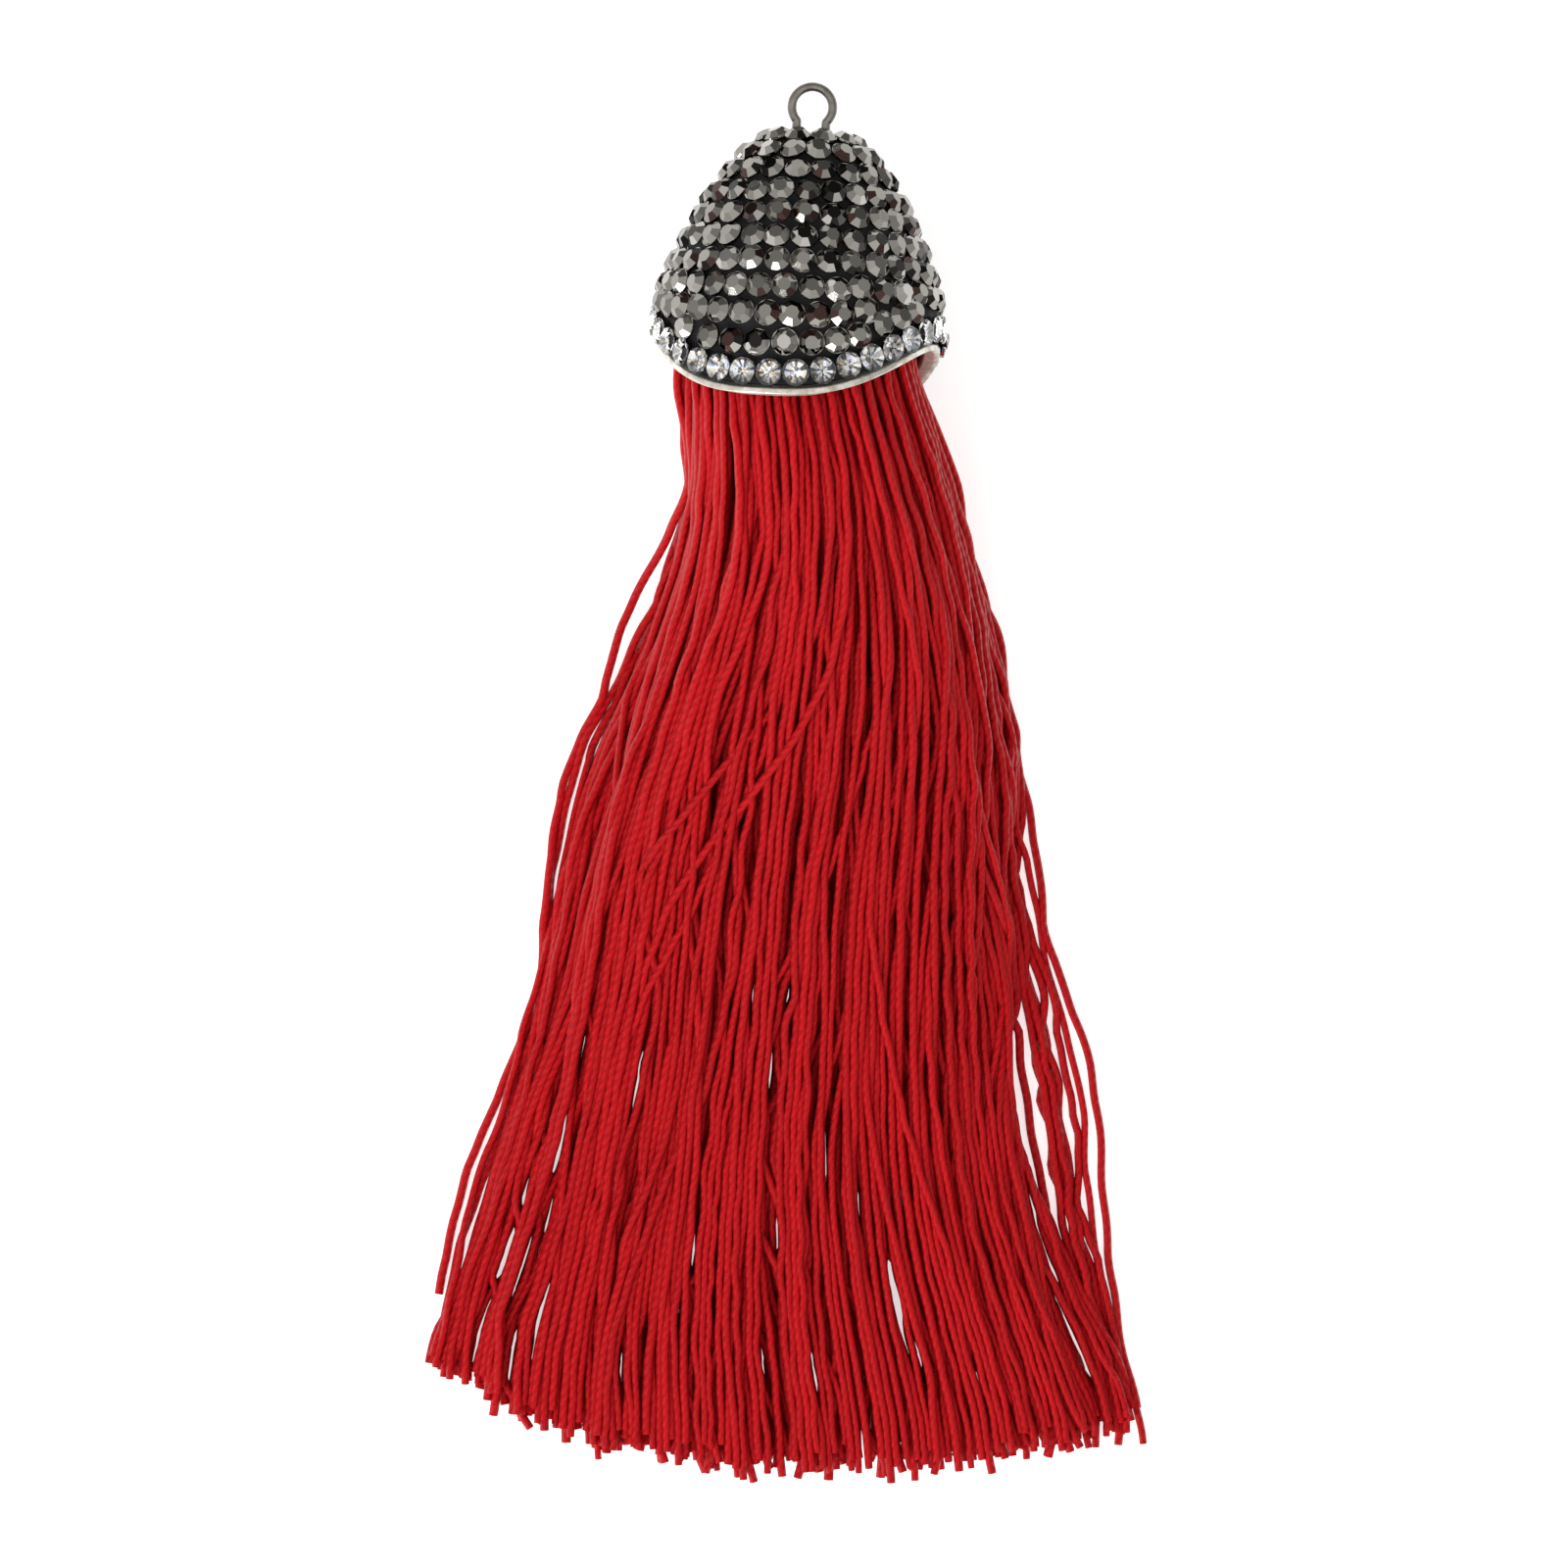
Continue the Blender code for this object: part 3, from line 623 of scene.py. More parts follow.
def polished_stone():
    """Dark mirror-like stones with painted reflections: a few random facets are painted brighter as
    highlights, some are painted black, and a few are painted dark red as the reflection of the
    threads.
    """
    made, tree, shader = new_material("polished_grey_stone", Metallic=1.0)
    grain = grain_of(tree, 700.0, 7000.0)
    chance, tone = facet_chance(tree)
    grey = blend_colours(tree, tone, colour(0.222, 0.212, 0.194), colour(0.32, 0.306, 0.281))
    # Painted reflections: random facets are painted brighter, dark red from the threads, or black.
    base = repaint(tree, grey,
                   (chance, "GREATER_THAN", 0.9, (0.42, 0.40, 0.38)),
                   (chance, "LESS_THAN", 0.24, (0.06, 0.034, 0.03)),
                   (chance, "LESS_THAN", 0.15, (0.022, 0.021, 0.02)))
    join(tree, shader, Base_Color=base, Roughness=spread(tree, grain["Mask"], 0.05, 0.12))
    relief(tree, shader, grain["Height"], 0.004, 0.5)
    return made


def clear_crystal():
    made, tree, shader = new_material(
        "clear_crystal", Base_Color=colour(1.0, 1.0, 1.0), Transmission_Weight=1.0, IOR=1.5,
    )
    mask = grain_of(tree, 800.0, 6000.0)["Mask"]
    join(tree, shader, Roughness=spread(tree, mask, 0.0, 0.04))
    return made


def crystal_foil():
    """Foil behind the crystals with painted reflections: light and dark rays, with tiny painted dots
    of split colour as sparkle.
    """
    made, tree, shader = new_material("crystal_foil", Metallic=1.0)
    chance, tone = facet_chance(tree)
    painted_sparkle = noise(tree, 4800.0, 0.0)
    light = blend_colours(tree, tone, colour(0.86, 0.85, 0.82), colour(0.80, 0.84, 0.88))
    # Painted reflections: random rays are painted grey or near black, and noise paints tiny orange
    # and blue dots of sparkle.
    base = repaint(tree, light,
                   (chance, "LESS_THAN", 0.56, (0.4, 0.39, 0.38)),
                   (chance, "LESS_THAN", 0.3, (0.04, 0.04, 0.042)),
                   (painted_sparkle, "GREATER_THAN", 0.72, (1.0, 0.62, 0.2)),
                   (painted_sparkle, "LESS_THAN", 0.27, (0.2, 0.34, 0.95)))
    join(tree, shader, Base_Color=base, Roughness=spread(tree, tone, 0.08, 0.16))
    return made


def pale_floor():
    """A bright, faintly lit table, so that thin shadows on it stay light."""
    made, tree, shader = new_material("pale_floor", Specular_IOR_Level=0.1, Emission_Strength=0.62,
                                      Emission_Color=colour(1.0, 1.0, 1.0))
    mask = grain_of(tree, 8.0, 300.0)["Mask"]
    join(tree, shader, Base_Color=blend_colours(tree, mask, colour(0.72, 0.725, 0.725),
                                                colour(0.74, 0.74, 0.735)))
    return made


def smooth_line(points, count):
    """Points at even distances along a smooth curve through the given ones."""
    knots = np.array(points, float)
    ends = np.vstack([2 * knots[0] - knots[1], knots, 2 * knots[-1] - knots[-2]])
    fine = []
    for before, start, stop, after in zip(ends, ends[1:], ends[2:], ends[3:]):
        for step in np.linspace(0, 1, CURVE_STEPS, endpoint=False):
            bend = 2 * before - 5 * start + 4 * stop - after
            twist = 3 * start - before - 3 * stop + after
            slope = stop - before
            fine.append(0.5 * (2 * start + slope * step + bend * step**2 + twist * step**3))
    fine = np.array(fine + [knots[-1]])
    lengths = np.append(0, np.cumsum(np.linalg.norm(np.diff(fine, axis=0), axis=1)))
    wanted = np.linspace(0, lengths[-1], count)
    return np.column_stack([np.interp(wanted, lengths, fine[:, axis]) for axis in (0, 1)])


BELL_LINE = smooth_line(BELL_OUTLINE, BELL_POINTS)
BELL_LINE[:, 1] = np.minimum(BELL_LINE[:, 1], CAP_RADIUS)
BELL_SLOPE = np.gradient(BELL_LINE, axis=0)
BELL_SLOPE /= np.linalg.norm(BELL_SLOPE, axis=1)[:, None]


def on_wall(depth, angle, inset=0.0):
    """Points on the bell, inset from the stones' tips, and the directions out of it."""
    depth, angle = np.broadcast_arrays(np.asarray(depth, float), np.asarray(angle, float))
    radius = np.interp(depth, BELL_LINE[:, 0], BELL_LINE[:, 1])
    sideways = np.interp(depth, BELL_LINE[:, 0], BELL_SLOPE[:, 0])
    upwards = np.interp(depth, BELL_LINE[:, 0], BELL_SLOPE[:, 1])
    outward = np.stack([np.sin(angle) * sideways, -np.cos(angle) * sideways, upwards], axis=-1)
    points = np.stack([np.sin(angle) * radius, -np.cos(angle) * radius, -depth], axis=-1)
    return points - np.asarray(inset)[..., None] * outward, outward


def mouth_depth(angle, lift):
    """How deep below the crown a line lies that follows the saddle, lift above it."""
    share = np.abs(np.sin(angle))
    slope = SADDLE_RISE * SADDLE_POWER / CAP_RADIUS * share ** (SADDLE_POWER - 1)
    edge = MOUTH_DEPTH - SADDLE_RISE * share**SADDLE_POWER
    return edge - lift * np.hypot(1, slope * np.abs(np.cos(angle)))


def row_depth(angle, depth, rise):
    """The depth of a row of stones at an angle."""
    row = depth - rise * np.abs(np.sin(angle)) ** SADDLE_POWER
    return np.minimum(row, mouth_depth(angle, LOWEST_STONE_LIFT))


def round_bell(line, count, turn=0.0):
    """Angles of even places around the bell on a line, from the side that faces up."""
    angles = np.linspace(0, 2 * math.pi, RING_POINTS) - TURN
    path, _ = on_wall(line(angles), angles)
    lengths = np.append(0, np.cumsum(np.linalg.norm(np.diff(path, axis=0), axis=1)))
    return np.interp((np.arange(count) + turn) * lengths[-1] / count, lengths, angles)


def crystal_places():
    """Even places along the mouth, one of them on the side that the cap lies on."""
    angles = round_bell(lambda angle: mouth_depth(angle, CRYSTAL_LIFT), CRYSTALS)
    return on_wall(mouth_depth(angles, CRYSTAL_LIFT), angles)


def stone_places(crystals):
    """Rows of stones from the crown down, where the girdles have room, and fillers between."""
    places, outwards = np.zeros((0, 3)), np.zeros((0, 3))
    legs = np.array([(math.cos(TURN), -math.sin(TURN)), (-math.cos(TURN), math.sin(TURN))])
    for depth, rise, turn in STONE_ROWS:
        ring = 2 * math.pi * abs(on_wall(depth, 0.0, STONE_HEIGHT)[0][1])
        angles = round_bell(lambda angle: row_depth(angle, depth, rise),
                            round(ring / STONE_PITCH), turn)
        row, outward = on_wall(row_depth(angles, depth, rise), angles)
        apart = (row - STONE_HEIGHT * outward)[:, None] - (places - STONE_HEIGHT * outwards)[None]
        beside = np.linalg.norm(apart, axis=2).min(axis=1, initial=STONE_PITCH)
        below = np.linalg.norm(row[:, None] - crystals[None], axis=2).min(axis=1)
        wire = np.linalg.norm(row[:, None, :2] - LEG_SPREAD * legs[None], axis=2).min(axis=1)
        kept = (beside > STONE_ROOM) & (below > CRYSTAL_ROOM) & (wire > WIRE_ROOM)
        places = np.concatenate([places, row[kept]])
        outwards = np.concatenate([outwards, outward[kept]])
    for lift in FILLER_LIFTS:
        angles = np.linspace(0, 2 * math.pi, FILLER_TURNS, endpoint=False)
        for point, facing in zip(*on_wall(mouth_depth(angles, lift), angles)):
            apart = point - STONE_HEIGHT * facing - (places - STONE_HEIGHT * outwards)
            beside = np.linalg.norm(apart, axis=1).min()
            below = np.linalg.norm(point - crystals, axis=1).min()
            if beside > FILLER_ROOM and below > FILLER_CRYSTAL_ROOM:
                places = np.vstack([places, point])
                outwards = np.vstack([outwards, facing])
    return settled(places, crystals)


def settled(places, crystals):
    """Moves the stones near the mouth apart where they crowd each other or the crystals."""
    free = (places[:, 2] < -SETTLE_DEPTH)[:, None]
    for _ in range(SETTLE_ROUNDS):
        pushes = np.zeros_like(places)
        for others, room in ((places, SETTLED_ROOM), (crystals, SETTLED_CRYSTAL_ROOM)):
            apart = places[:, None] - others[None]
            distance = np.linalg.norm(apart, axis=2)
            crowding = np.clip(room - distance, 0, None) / np.where(distance > 0, distance, np.inf)
            pushes += (apart * crowding[..., None]).sum(axis=1)
        places = places + SETTLE_FORCE * pushes * free
        places, outwards = on_wall(-places[:, 2], np.arctan2(places[:, 0], -places[:, 1]))
    return places, outwards


def skein_shift():
    """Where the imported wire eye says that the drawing's origin is."""
    _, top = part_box("wire_eye")
    reach = EYE_RADIUS + WIRE / 2
    eye_x = CROWN_X + EYE_HEIGHT * math.sin(LEAN)
    eye_y = CROWN_Y + EYE_HEIGHT * math.cos(LEAN)
    return Vector((top.x / MM - eye_x - reach, top.y / MM - eye_y - reach, 0.0))


SHIFT = skein_shift()
TO_FLOOR = Matrix.Scale(MM, 4) @ Matrix.Translation(SHIFT)
LAID_DOWN = (
    TO_FLOOR
    @ Matrix.Translation((CROWN_X, CROWN_Y, CAP_RADIUS))
    @ Matrix.Rotation(-LEAN, 4, "Z")
    @ Matrix.Rotation(-math.pi / 2, 4, "X")
    @ Matrix.Rotation(TURN, 4, "Z")
)


def show(made):
    """Puts an object in the scene."""
    bpy.context.scene.collection.objects.link(made)
    return made


def place(name, mesh, slot, *nodes):
    """A finished piece that rides on the tassel and stands for CAD nodes."""
    made = show(bpy.data.objects.new(name, mesh))
    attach(made, "root")
    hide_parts(*nodes)


def baked(tree, mesh, **values):
    """The plain mesh that a Geometry Nodes tree makes from a mesh with the given inputs."""
    holder = show(bpy.data.objects.new("holder", mesh))
    modifier = holder.modifiers.new(tree.name, "NODES")
    modifier.node_group = tree
    labels = {
        item.name: item.identifier
        for item in tree.interface.items_tree
        if item.item_type == "SOCKET" and item.in_out == "INPUT"
    }
    for label, value in values.items():
        modifier[labels[label]] = value
    graph = bpy.context.evaluated_depsgraph_get()
    made = bpy.data.meshes.new_from_object(
        holder.evaluated_get(graph), preserve_all_data_layers=True, depsgraph=graph
    )
    holder.modifiers.remove(modifier)
    bpy.data.objects.remove(holder, do_unlink=True)
    return made


def to_mesh(name, shell):
    """A mesh in the shape of a shell, which is used up."""
    mesh = bpy.data.meshes.new(name)
    shell.to_mesh(mesh)
    shell.free()
    return mesh


def grid_mesh(name, rings, finish):
    """A smooth, closed form through rings of points, with a fan at each end."""
    rows, columns = rings.shape[:2]
    shell = bmesh.new()
    verts = [[shell.verts.new(point) for point in ring] for ring in rings]
    for ring, after in zip(verts, verts[1:]):
        for column in range(columns):
            beside = (column + 1) % columns
            shell.faces.new((ring[column], ring[beside], after[beside], after[column]))
    for ring in (0, rows - 1):
        centre = shell.verts.new(rings[ring].mean(axis=0))
        for column in range(columns):
            shell.faces.new((verts[ring][column], verts[ring][(column + 1) % columns], centre))
    bmesh.ops.recalc_face_normals(shell, faces=shell.faces)
    mesh = to_mesh(name, shell)
    mesh.materials.append(finish)
    mesh.shade_smooth()
    return mesh


def laid(mesh):
    mesh.transform(LAID_DOWN)
    return mesh


def wall_rings(profile, columns):
    """Rings of points from rows of (share of the way down, lift above the mouth, inset)."""
    angles = np.linspace(0, 2 * math.pi, columns, endpoint=False)
    rings = []
    for share, lift, inset in profile:
        edge = mouth_depth(angles, lift)
        rings.append(on_wall(edge * share, angles, np.full(columns, inset))[0])
    return np.array(rings)


def make_cup(finish):
    """The silver cup: a thin bell with a rounded flange around its mouth."""
    arc = [(math.sin(turn), math.cos(turn)) for turn in np.linspace(0, math.pi / 2, 4)]
    downs = np.linspace(CUP_START, 1, CUP_ROWS) ** CUP_SPACING
    outside = [(share, FLANGE_HEIGHT, CUP_FACE) for share in downs]
    lip = [(1, FLANGE_HEIGHT, FLANGE_FACE + FLANGE_ROUNDING)]
    lip += [(1, FLANGE_HEIGHT - FLANGE_ROUNDING * (1 - c), FLANGE_FACE + FLANGE_ROUNDING * (1 - s))
            for s, c in arc]
    lip += [(1, FLANGE_ROUNDING * (1 - s), FLANGE_FACE + FLANGE_ROUNDING * (1 - c)) for s, c in arc]
    lip += [(1, 0.0, CUP_INSIDE - FLANGE_ROUNDING)]
    lip += [(1, FLANGE_ROUNDING * (1 - c), CUP_INSIDE - FLANGE_ROUNDING * (1 - s)) for s, c in arc]
    inside = [(share, FLANGE_ROUNDING, CUP_INSIDE) for share in downs[::-1]]
    mesh = grid_mesh("silver_cup", wall_rings(outside + lip + inside, CUP_COLUMNS), finish)
    place("silver_cup", laid(mesh), "cup", "metal_cup")


def lips(points, seats, radius):
    """How far clay is raised around stones, at the given points."""
    raised = np.zeros(len(points))
    for centre in seats:
        apart = np.linalg.norm(points - centre, axis=1)
        raised = np.maximum(raised, np.exp(-(((apart - radius - LIP_GAP) / LIP_WIDTH) ** 2)))
    return raised * LIP_HEIGHT


def make_clay(finish, stones, crystals):
    """The clay coat: hand-pressed between the stones, with a raised lip around each."""
    chance = np.random.default_rng(SEED)
    downs = np.linspace(WALL_START, 1, WALL_ROWS) ** WALL_SPACING
    face = [(share, FACE_LIFT, CLAY_FACE) for share in downs]
    step = [(1, FACE_LIFT - STEP_DROP, CLAY_FACE + STEP_INSET),
            (1, FACE_LIFT - STEP_HEIGHT, CLAY_FOOT)]
    lifts = np.linspace(FACE_LIFT - FOOT_DROP, FOOT_LIFT + FOOT_ROUNDING, FOOT_ROWS)
    foot = [(1, lift, CLAY_FOOT) for lift in lifts]
    back = [(1, FOOT_LIFT, CLAY_FOOT + FOOT_ROUNDING), (1, FOOT_LIFT, CLAY_BACK)]
    back += [(share, FOOT_LIFT, CLAY_BACK) for share in BACK_SHARES]
    rings = wall_rings(face + step + foot + back, WALL_COLUMNS)
    shown = len(face + step + foot)
    points = rings[:shown].reshape(-1, 3)
    outward = np.gradient(rings[:shown], axis=0)
    around = np.roll(rings[:shown], -1, axis=1) - np.roll(rings[:shown], 1, axis=1)
    outward = np.cross(around, outward).reshape(-1, 3)
    outward /= np.linalg.norm(outward, axis=1)[:, None] + 1e-9
    outward *= np.sign((outward * (points - points.mean(axis=0))).sum(axis=1))[:, None]
    raised = np.maximum(lips(points, stones, STONE_GIRDLE), lips(points, crystals, CRYSTAL_GIRDLE))
    uneven = np.zeros(len(points))
    for size in CLAY_WAVES:
        waves = chance.normal(0, 1, (WAVES_EACH, 3)) / size
        phases = chance.uniform(0, 2 * math.pi, WAVES_EACH)
        uneven += size * np.sin(points @ waves.T + phases).mean(axis=1)
    moved = points + outward * (raised + CLAY_UNEVENNESS * uneven)[:, None]
    rings[:shown] = moved.reshape(shown, WALL_COLUMNS, 3)
    place("clay_coat", laid(grid_mesh("clay_coat", rings, finish)), "clay", "jeweled_clay")


def cut_stone(name, rings):
    """A cut stone from rings of (radius, height, corners), joined by flat facets."""
    shell = bmesh.new()
    rows = []
    for radius, height, count in rings:
        angles = np.arange(count) * 2 * math.pi / count
        rows.append([
            shell.verts.new((radius * math.cos(angle), radius * math.sin(angle), height))
            for angle in angles
        ])
    shell.faces.new(rows[0])
    shell.faces.new(rows[-1][::-1])
    for upper, lower in zip(rows, rows[1:]):
        for step in range(len(upper)):
            after = (step + 1) % len(upper)
            if len(lower) == len(upper):
                shell.faces.new((upper[step], lower[step], lower[after], upper[after]))
            else:
                middle = lower[2 * step + 1]
                end = lower[(2 * step + 2) % len(lower)]
                shell.faces.new((upper[step], lower[2 * step], middle, end, upper[after]))
    bmesh.ops.recalc_face_normals(shell, faces=shell.faces)
    mesh = to_mesh(name, shell)
    chance = np.random.default_rng(SEED).uniform(0, 1, len(mesh.polygons)).astype(np.float32)
    mesh.attributes.new("facet", "FLOAT", "FACE").data.foreach_set("value", chance)
    return bpy.data.objects.new(name, mesh)


def new_tree(name, **inputs):
    """A Geometry Nodes tree that takes geometry, its own inputs and a finish."""
    shape = {"Geometry": ("NodeSocketGeometry", None)}
    finish = {"Finish": ("NodeSocketMaterial", None)}
    named = {label.replace("_", " "): socket for label, socket in inputs.items()}
    return new_group(name, "GeometryNodeTree", shape | named | finish, shape)


def finish_tree(tree, given, out, geometry):
    """Ends a tree with real geometry in the given finish."""
    real = result(tree, "GeometryNodeRealizeInstances", {"Geometry": geometry})
    done = result(tree, "GeometryNodeSetMaterial", {"Geometry": real, "Material": given["Finish"]})
    join(tree, out, Geometry=done)
    return tree


def stored(tree, geometry, name, value, **settings):
    """A geometry that carries a value under a name."""
    return result(tree, "GeometryNodeStoreNamedAttribute",
                  {"Geometry": geometry, "Name": name, "Value": value}, **settings)


def recalled(tree, name, kind="FLOAT"):
    """A value that a geometry carries under a name."""
    return result(tree, "GeometryNodeInputNamedAttribute", {"Name": name}, data_type=kind)


def setting_tree():
    """Sets a cut stone on every point, facing outward, each a little tilted and turned."""
    tree, given, out = new_tree(
        "stone_settings", Stone=("NodeSocketObject", None), Tilt=(FLOAT, STONE_TILT),
        Smallest=(FLOAT, SMALLEST_STONE), Seed=("NodeSocketInt", SEED),
    )
    tilt, seed = given["Tilt"], given["Seed"]
    stone = add(tree, "GeometryNodeObjectInfo", {"Object": given["Stone"]}).outputs["Geometry"]
    facing = result(tree, "FunctionNodeAlignRotationToVector",
                    {"Vector": recalled(tree, "outward", "FLOAT_VECTOR")}, axis="Z")
    seated = result(tree, "GeometryNodeInstanceOnPoints",
                    {"Points": given["Geometry"], "Instance": stone, "Rotation": facing})
    less = maths(tree, "MULTIPLY", tilt, -1.0)
    turn = result(tree, "FunctionNodeRandomValue",
                  {0: vector(tree, less, less), 1: vector(tree, tilt, tilt, 2 * math.pi),
                   "Seed": seed}, data_type="FLOAT_VECTOR")
    turned = result(tree, "GeometryNodeRotateInstances", {"Instances": seated, "Rotation": turn})
    size, tone = (
        add(tree, "FunctionNodeRandomValue", {2: low, 3: high, "Seed": seed}).outputs[1]
        for low, high in ((given["Smallest"], LARGEST_STONE), (0.0, 1.0))
    )
    scaled = result(tree, "GeometryNodeScaleInstances", {"Instances": turned, "Scale": size})
    return finish_tree(tree, given, out, stored(tree, scaled, "tone", tone, domain="INSTANCE"))


def seat_points(points, outwards):
    """A mesh of loose points that keep the direction in which their stones face."""
    mesh = bpy.data.meshes.new("seats")
    mesh.from_pydata([tuple(point) for point in points], [], [])
    facing = mesh.attributes.new("outward", "FLOAT_VECTOR", "POINT")
    facing.data.foreach_set("vector", np.asarray(outwards, np.float32).ravel())
    return mesh


def make_stones(tree, finish, stones, outwards):
    """The grey stones: an eight-sided table, eight facets and a round girdle."""
    uneven = np.random.default_rng(SEED + 2).normal(0, 1, stones.shape) * STONE_UNEVENNESS
    uneven -= (uneven * outwards).sum(axis=1)[:, None] * outwards * STONE_LEVELLING
    mesh = baked(tree, seat_points(stones + uneven, outwards), Finish=finish, Seed=SEED,
                 Stone=cut_stone("cut_stone", STONE_CUT), Tilt=STONE_TILT)
    place("grey_stones", laid(mesh), "clay", "jeweled_clay")


def make_crystals(tree, glass, foil, crystals, outwards):
    """The crystals: a clear cut crown over a dish of foil, cut in rays."""
    seats = seat_points(crystals - outwards * CRYSTAL_DEPTH, outwards)
    nodes = sorted(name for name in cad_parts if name.startswith("crystal_"))
    for name, cut, finish in (("crystal_foil", FOIL_CUT, foil), ("crystals", CROWN_CUT, glass)):
        mesh = baked(tree, seats.copy(), Stone=cut_stone(name + "_cut", cut),
                     Tilt=CRYSTAL_TILT, Smallest=1.0, Seed=SEED + 5, Finish=finish)
        place(name, laid(mesh), "crystal", *nodes)


def make_wire(finish):
    """The wire eye: most of a circle, with two legs down into the crown."""
    opening = math.asin(LEG_SPREAD / EYE_RADIUS)
    turns = np.linspace(opening - math.pi / 2, 3 * math.pi / 2 - opening, EYE_POINTS)
    eye = [(EYE_RADIUS * math.cos(turn), EYE_HEIGHT + EYE_RADIUS * math.sin(turn)) for turn in turns]
    legs = np.linspace(-LEG_DEPTH, LEG_TOP, LEG_POINTS)
    route = [(LEG_SPREAD, height) for height in legs] + eye
    route += [(-LEG_SPREAD, height) for height in legs[::-1]]
    curve = bpy.data.curves.new("wire_line", "CURVE")
    curve.dimensions = "3D"
    curve.bevel_depth = WIRE / 2
    curve.bevel_resolution = WIRE_FINENESS
    curve.use_fill_caps = True
    spline = curve.splines.new("POLY")
    spline.points.add(len(route) - 1)
    for point, (across, height) in zip(spline.points, route):
        point.co = (across, 0.0, height, 1.0)
    source = show(bpy.data.objects.new("wire_line", curve))
    evaluated = source.evaluated_get(bpy.context.evaluated_depsgraph_get())
    shell = bmesh.new()
    shell.from_mesh(bpy.data.meshes.new_from_object(evaluated))
    bpy.data.objects.remove(source, do_unlink=True)
    bmesh.ops.remove_doubles(shell, verts=shell.verts, dist=MERGE_DISTANCE)
    bmesh.ops.recalc_face_normals(shell, faces=shell.faces)
    mesh = to_mesh("wire_ring", shell)
    mesh.materials.append(finish)
    mesh.shade_smooth()
    mesh.transform(Matrix.Rotation(-TURN, 4, "Z"))
    place("wire_ring", laid(mesh), "wire", "wire_eye")


def thread_tree():
    """Turns lines into threads that carry their twist, for plies that wind along each line."""
    tree, given, out = new_tree(
        "twisted_threads", Step=(FLOAT, SHOWN_STEP), Sides=("NodeSocketInt", SHOWN_SIDES),
        Twist_length=(FLOAT, TWIST_LENGTH),
    )
    line = result(tree, "GeometryNodeMeshToCurve", {"Mesh": given["Geometry"]})
    soft = result(tree, "GeometryNodeCurveSplineType", {"Curve": line}, spline_type="CATMULL_ROM")
    even = result(tree, "GeometryNodeResampleCurve", {"Curve": soft, "Length": given["Step"]},
                  mode="LENGTH")
    length = add(tree, "GeometryNodeSplineParameter").outputs["Length"]
    rate = maths(tree, "DIVIDE", 2 * math.pi, given["Twist length"])
    turned = maths(tree, "MULTIPLY_ADD", length, rate, recalled(tree, "phase"))
    wound = stored(tree, stored(tree, even, "along", length), "twist", turned)
    circle = result(tree, "GeometryNodeCurvePrimitiveCircle",
                    {"Resolution": given["Sides"], "Radius": 1.0})
    around = stored(tree, circle, "around", result(tree, "GeometryNodeInputPosition"),
                    data_type="FLOAT_VECTOR")
    tube = result(tree, "GeometryNodeCurveToMesh",
                  {"Curve": wound, "Profile Curve": around, "Scale": recalled(tree, "thickness"),
                   "Fill Caps": True})
    smooth = result(tree, "GeometryNodeSetShadeSmooth", {"Geometry": tube})
    return finish_tree(tree, given, out, smooth)


def line_mesh(lines, **values):
    """A mesh of open lines that carry one value of each kind a line."""
    corners, edges, owners = [], [], []
    for number, line in enumerate(lines):
        first = len(corners)
        corners += [tuple(point) for point in line]
        edges += [(first + step, first + step + 1) for step in range(len(line) - 1)]
        owners += [number] * len(line)
    mesh = bpy.data.meshes.new("lines")
    mesh.from_pydata(corners, edges, [])
    for name, column in values.items():
        attribute = mesh.attributes.new(name, "FLOAT", "POINT")
        attribute.data.foreach_set("value", np.asarray(column, np.float32)[owners])
    return mesh


def round_places(count):
    """Evenly spread places in a disc of radius 1, in the pattern of a sunflower's seeds."""
    index = np.arange(count)
    ring = np.sqrt((index + 0.5) / count)
    angle = index * math.pi * (3 - math.sqrt(5))
    return np.column_stack([ring * np.cos(angle), ring * np.sin(angle)])


def drift(chance, along, count, lengths):
    """Slow sideways drift of about 1, for each station and each of count lines."""
    total = np.zeros((len(along), count))
    for length in lengths:
        phase = chance.uniform(0, 2 * math.pi, count)
        pace = 2 * math.pi / (length * chance.uniform(*WAVE_RANGE, count))
        total += chance.normal(0, 1, count) * np.sin(along[:, None] * pace + phase)
    return total / math.sqrt(len(lengths))


def section_values(along):
    """The columns of the table of sections, read between its rows."""
    table = np.array(SECTIONS)[::-1]
    return [np.interp(along, table[:, 0], table[:, column])[:, None] for column in range(1, 6)]


def heap_place(along, unit_across, unit_up):
    """Where a place in the unit disc lies in the cross-sections."""
    left, right, low, high, sag = section_values(along)
    unit_across = np.clip(unit_across, -EDGE, EDGE)
    rise = np.sqrt(1 - unit_across**2)
    unit_up = np.clip(unit_up, -rise, rise)
    heap = (1 - sag) * (unit_up + 1) / 2 + sag * (unit_up + rise) / 2
    across = (left + right) / 2 + (right - left) / 2 * unit_across
    return np.stack([across, low + (high - low) * heap], axis=2)


def parting_line(along, across, level):
    """A line down the fan that passes through a point."""
    left, right = (column[:, 0] for column in section_values(along)[:2])
    middle, half = (left + right) / 2, (right - left) / 2
    here = [np.interp(-level, -along, values) for values in (middle, half)]
    return middle + half * (across - here[0]) / here[1]


def part_locks(places, along):
    """Push threads gently aside from the middle of each parting."""
    for across, level, half_width, half_length in PARTINGS:
        opening = np.clip(1 - ((along - level) / half_length) ** 2, 0, None)[:, None]
        offset = places[..., 0] - parting_line(along, across, level)[:, None]
        push = PARTING_PUSH * half_width * opening * np.exp(-np.abs(offset) / PARTING_REACH)
        places[..., 0] += np.where(offset < 0, -push, push)
    return places


def toward(values, wanted, share):
    """Values moved towards others by a share of the way."""
    return values * (1 - share) + wanted * share


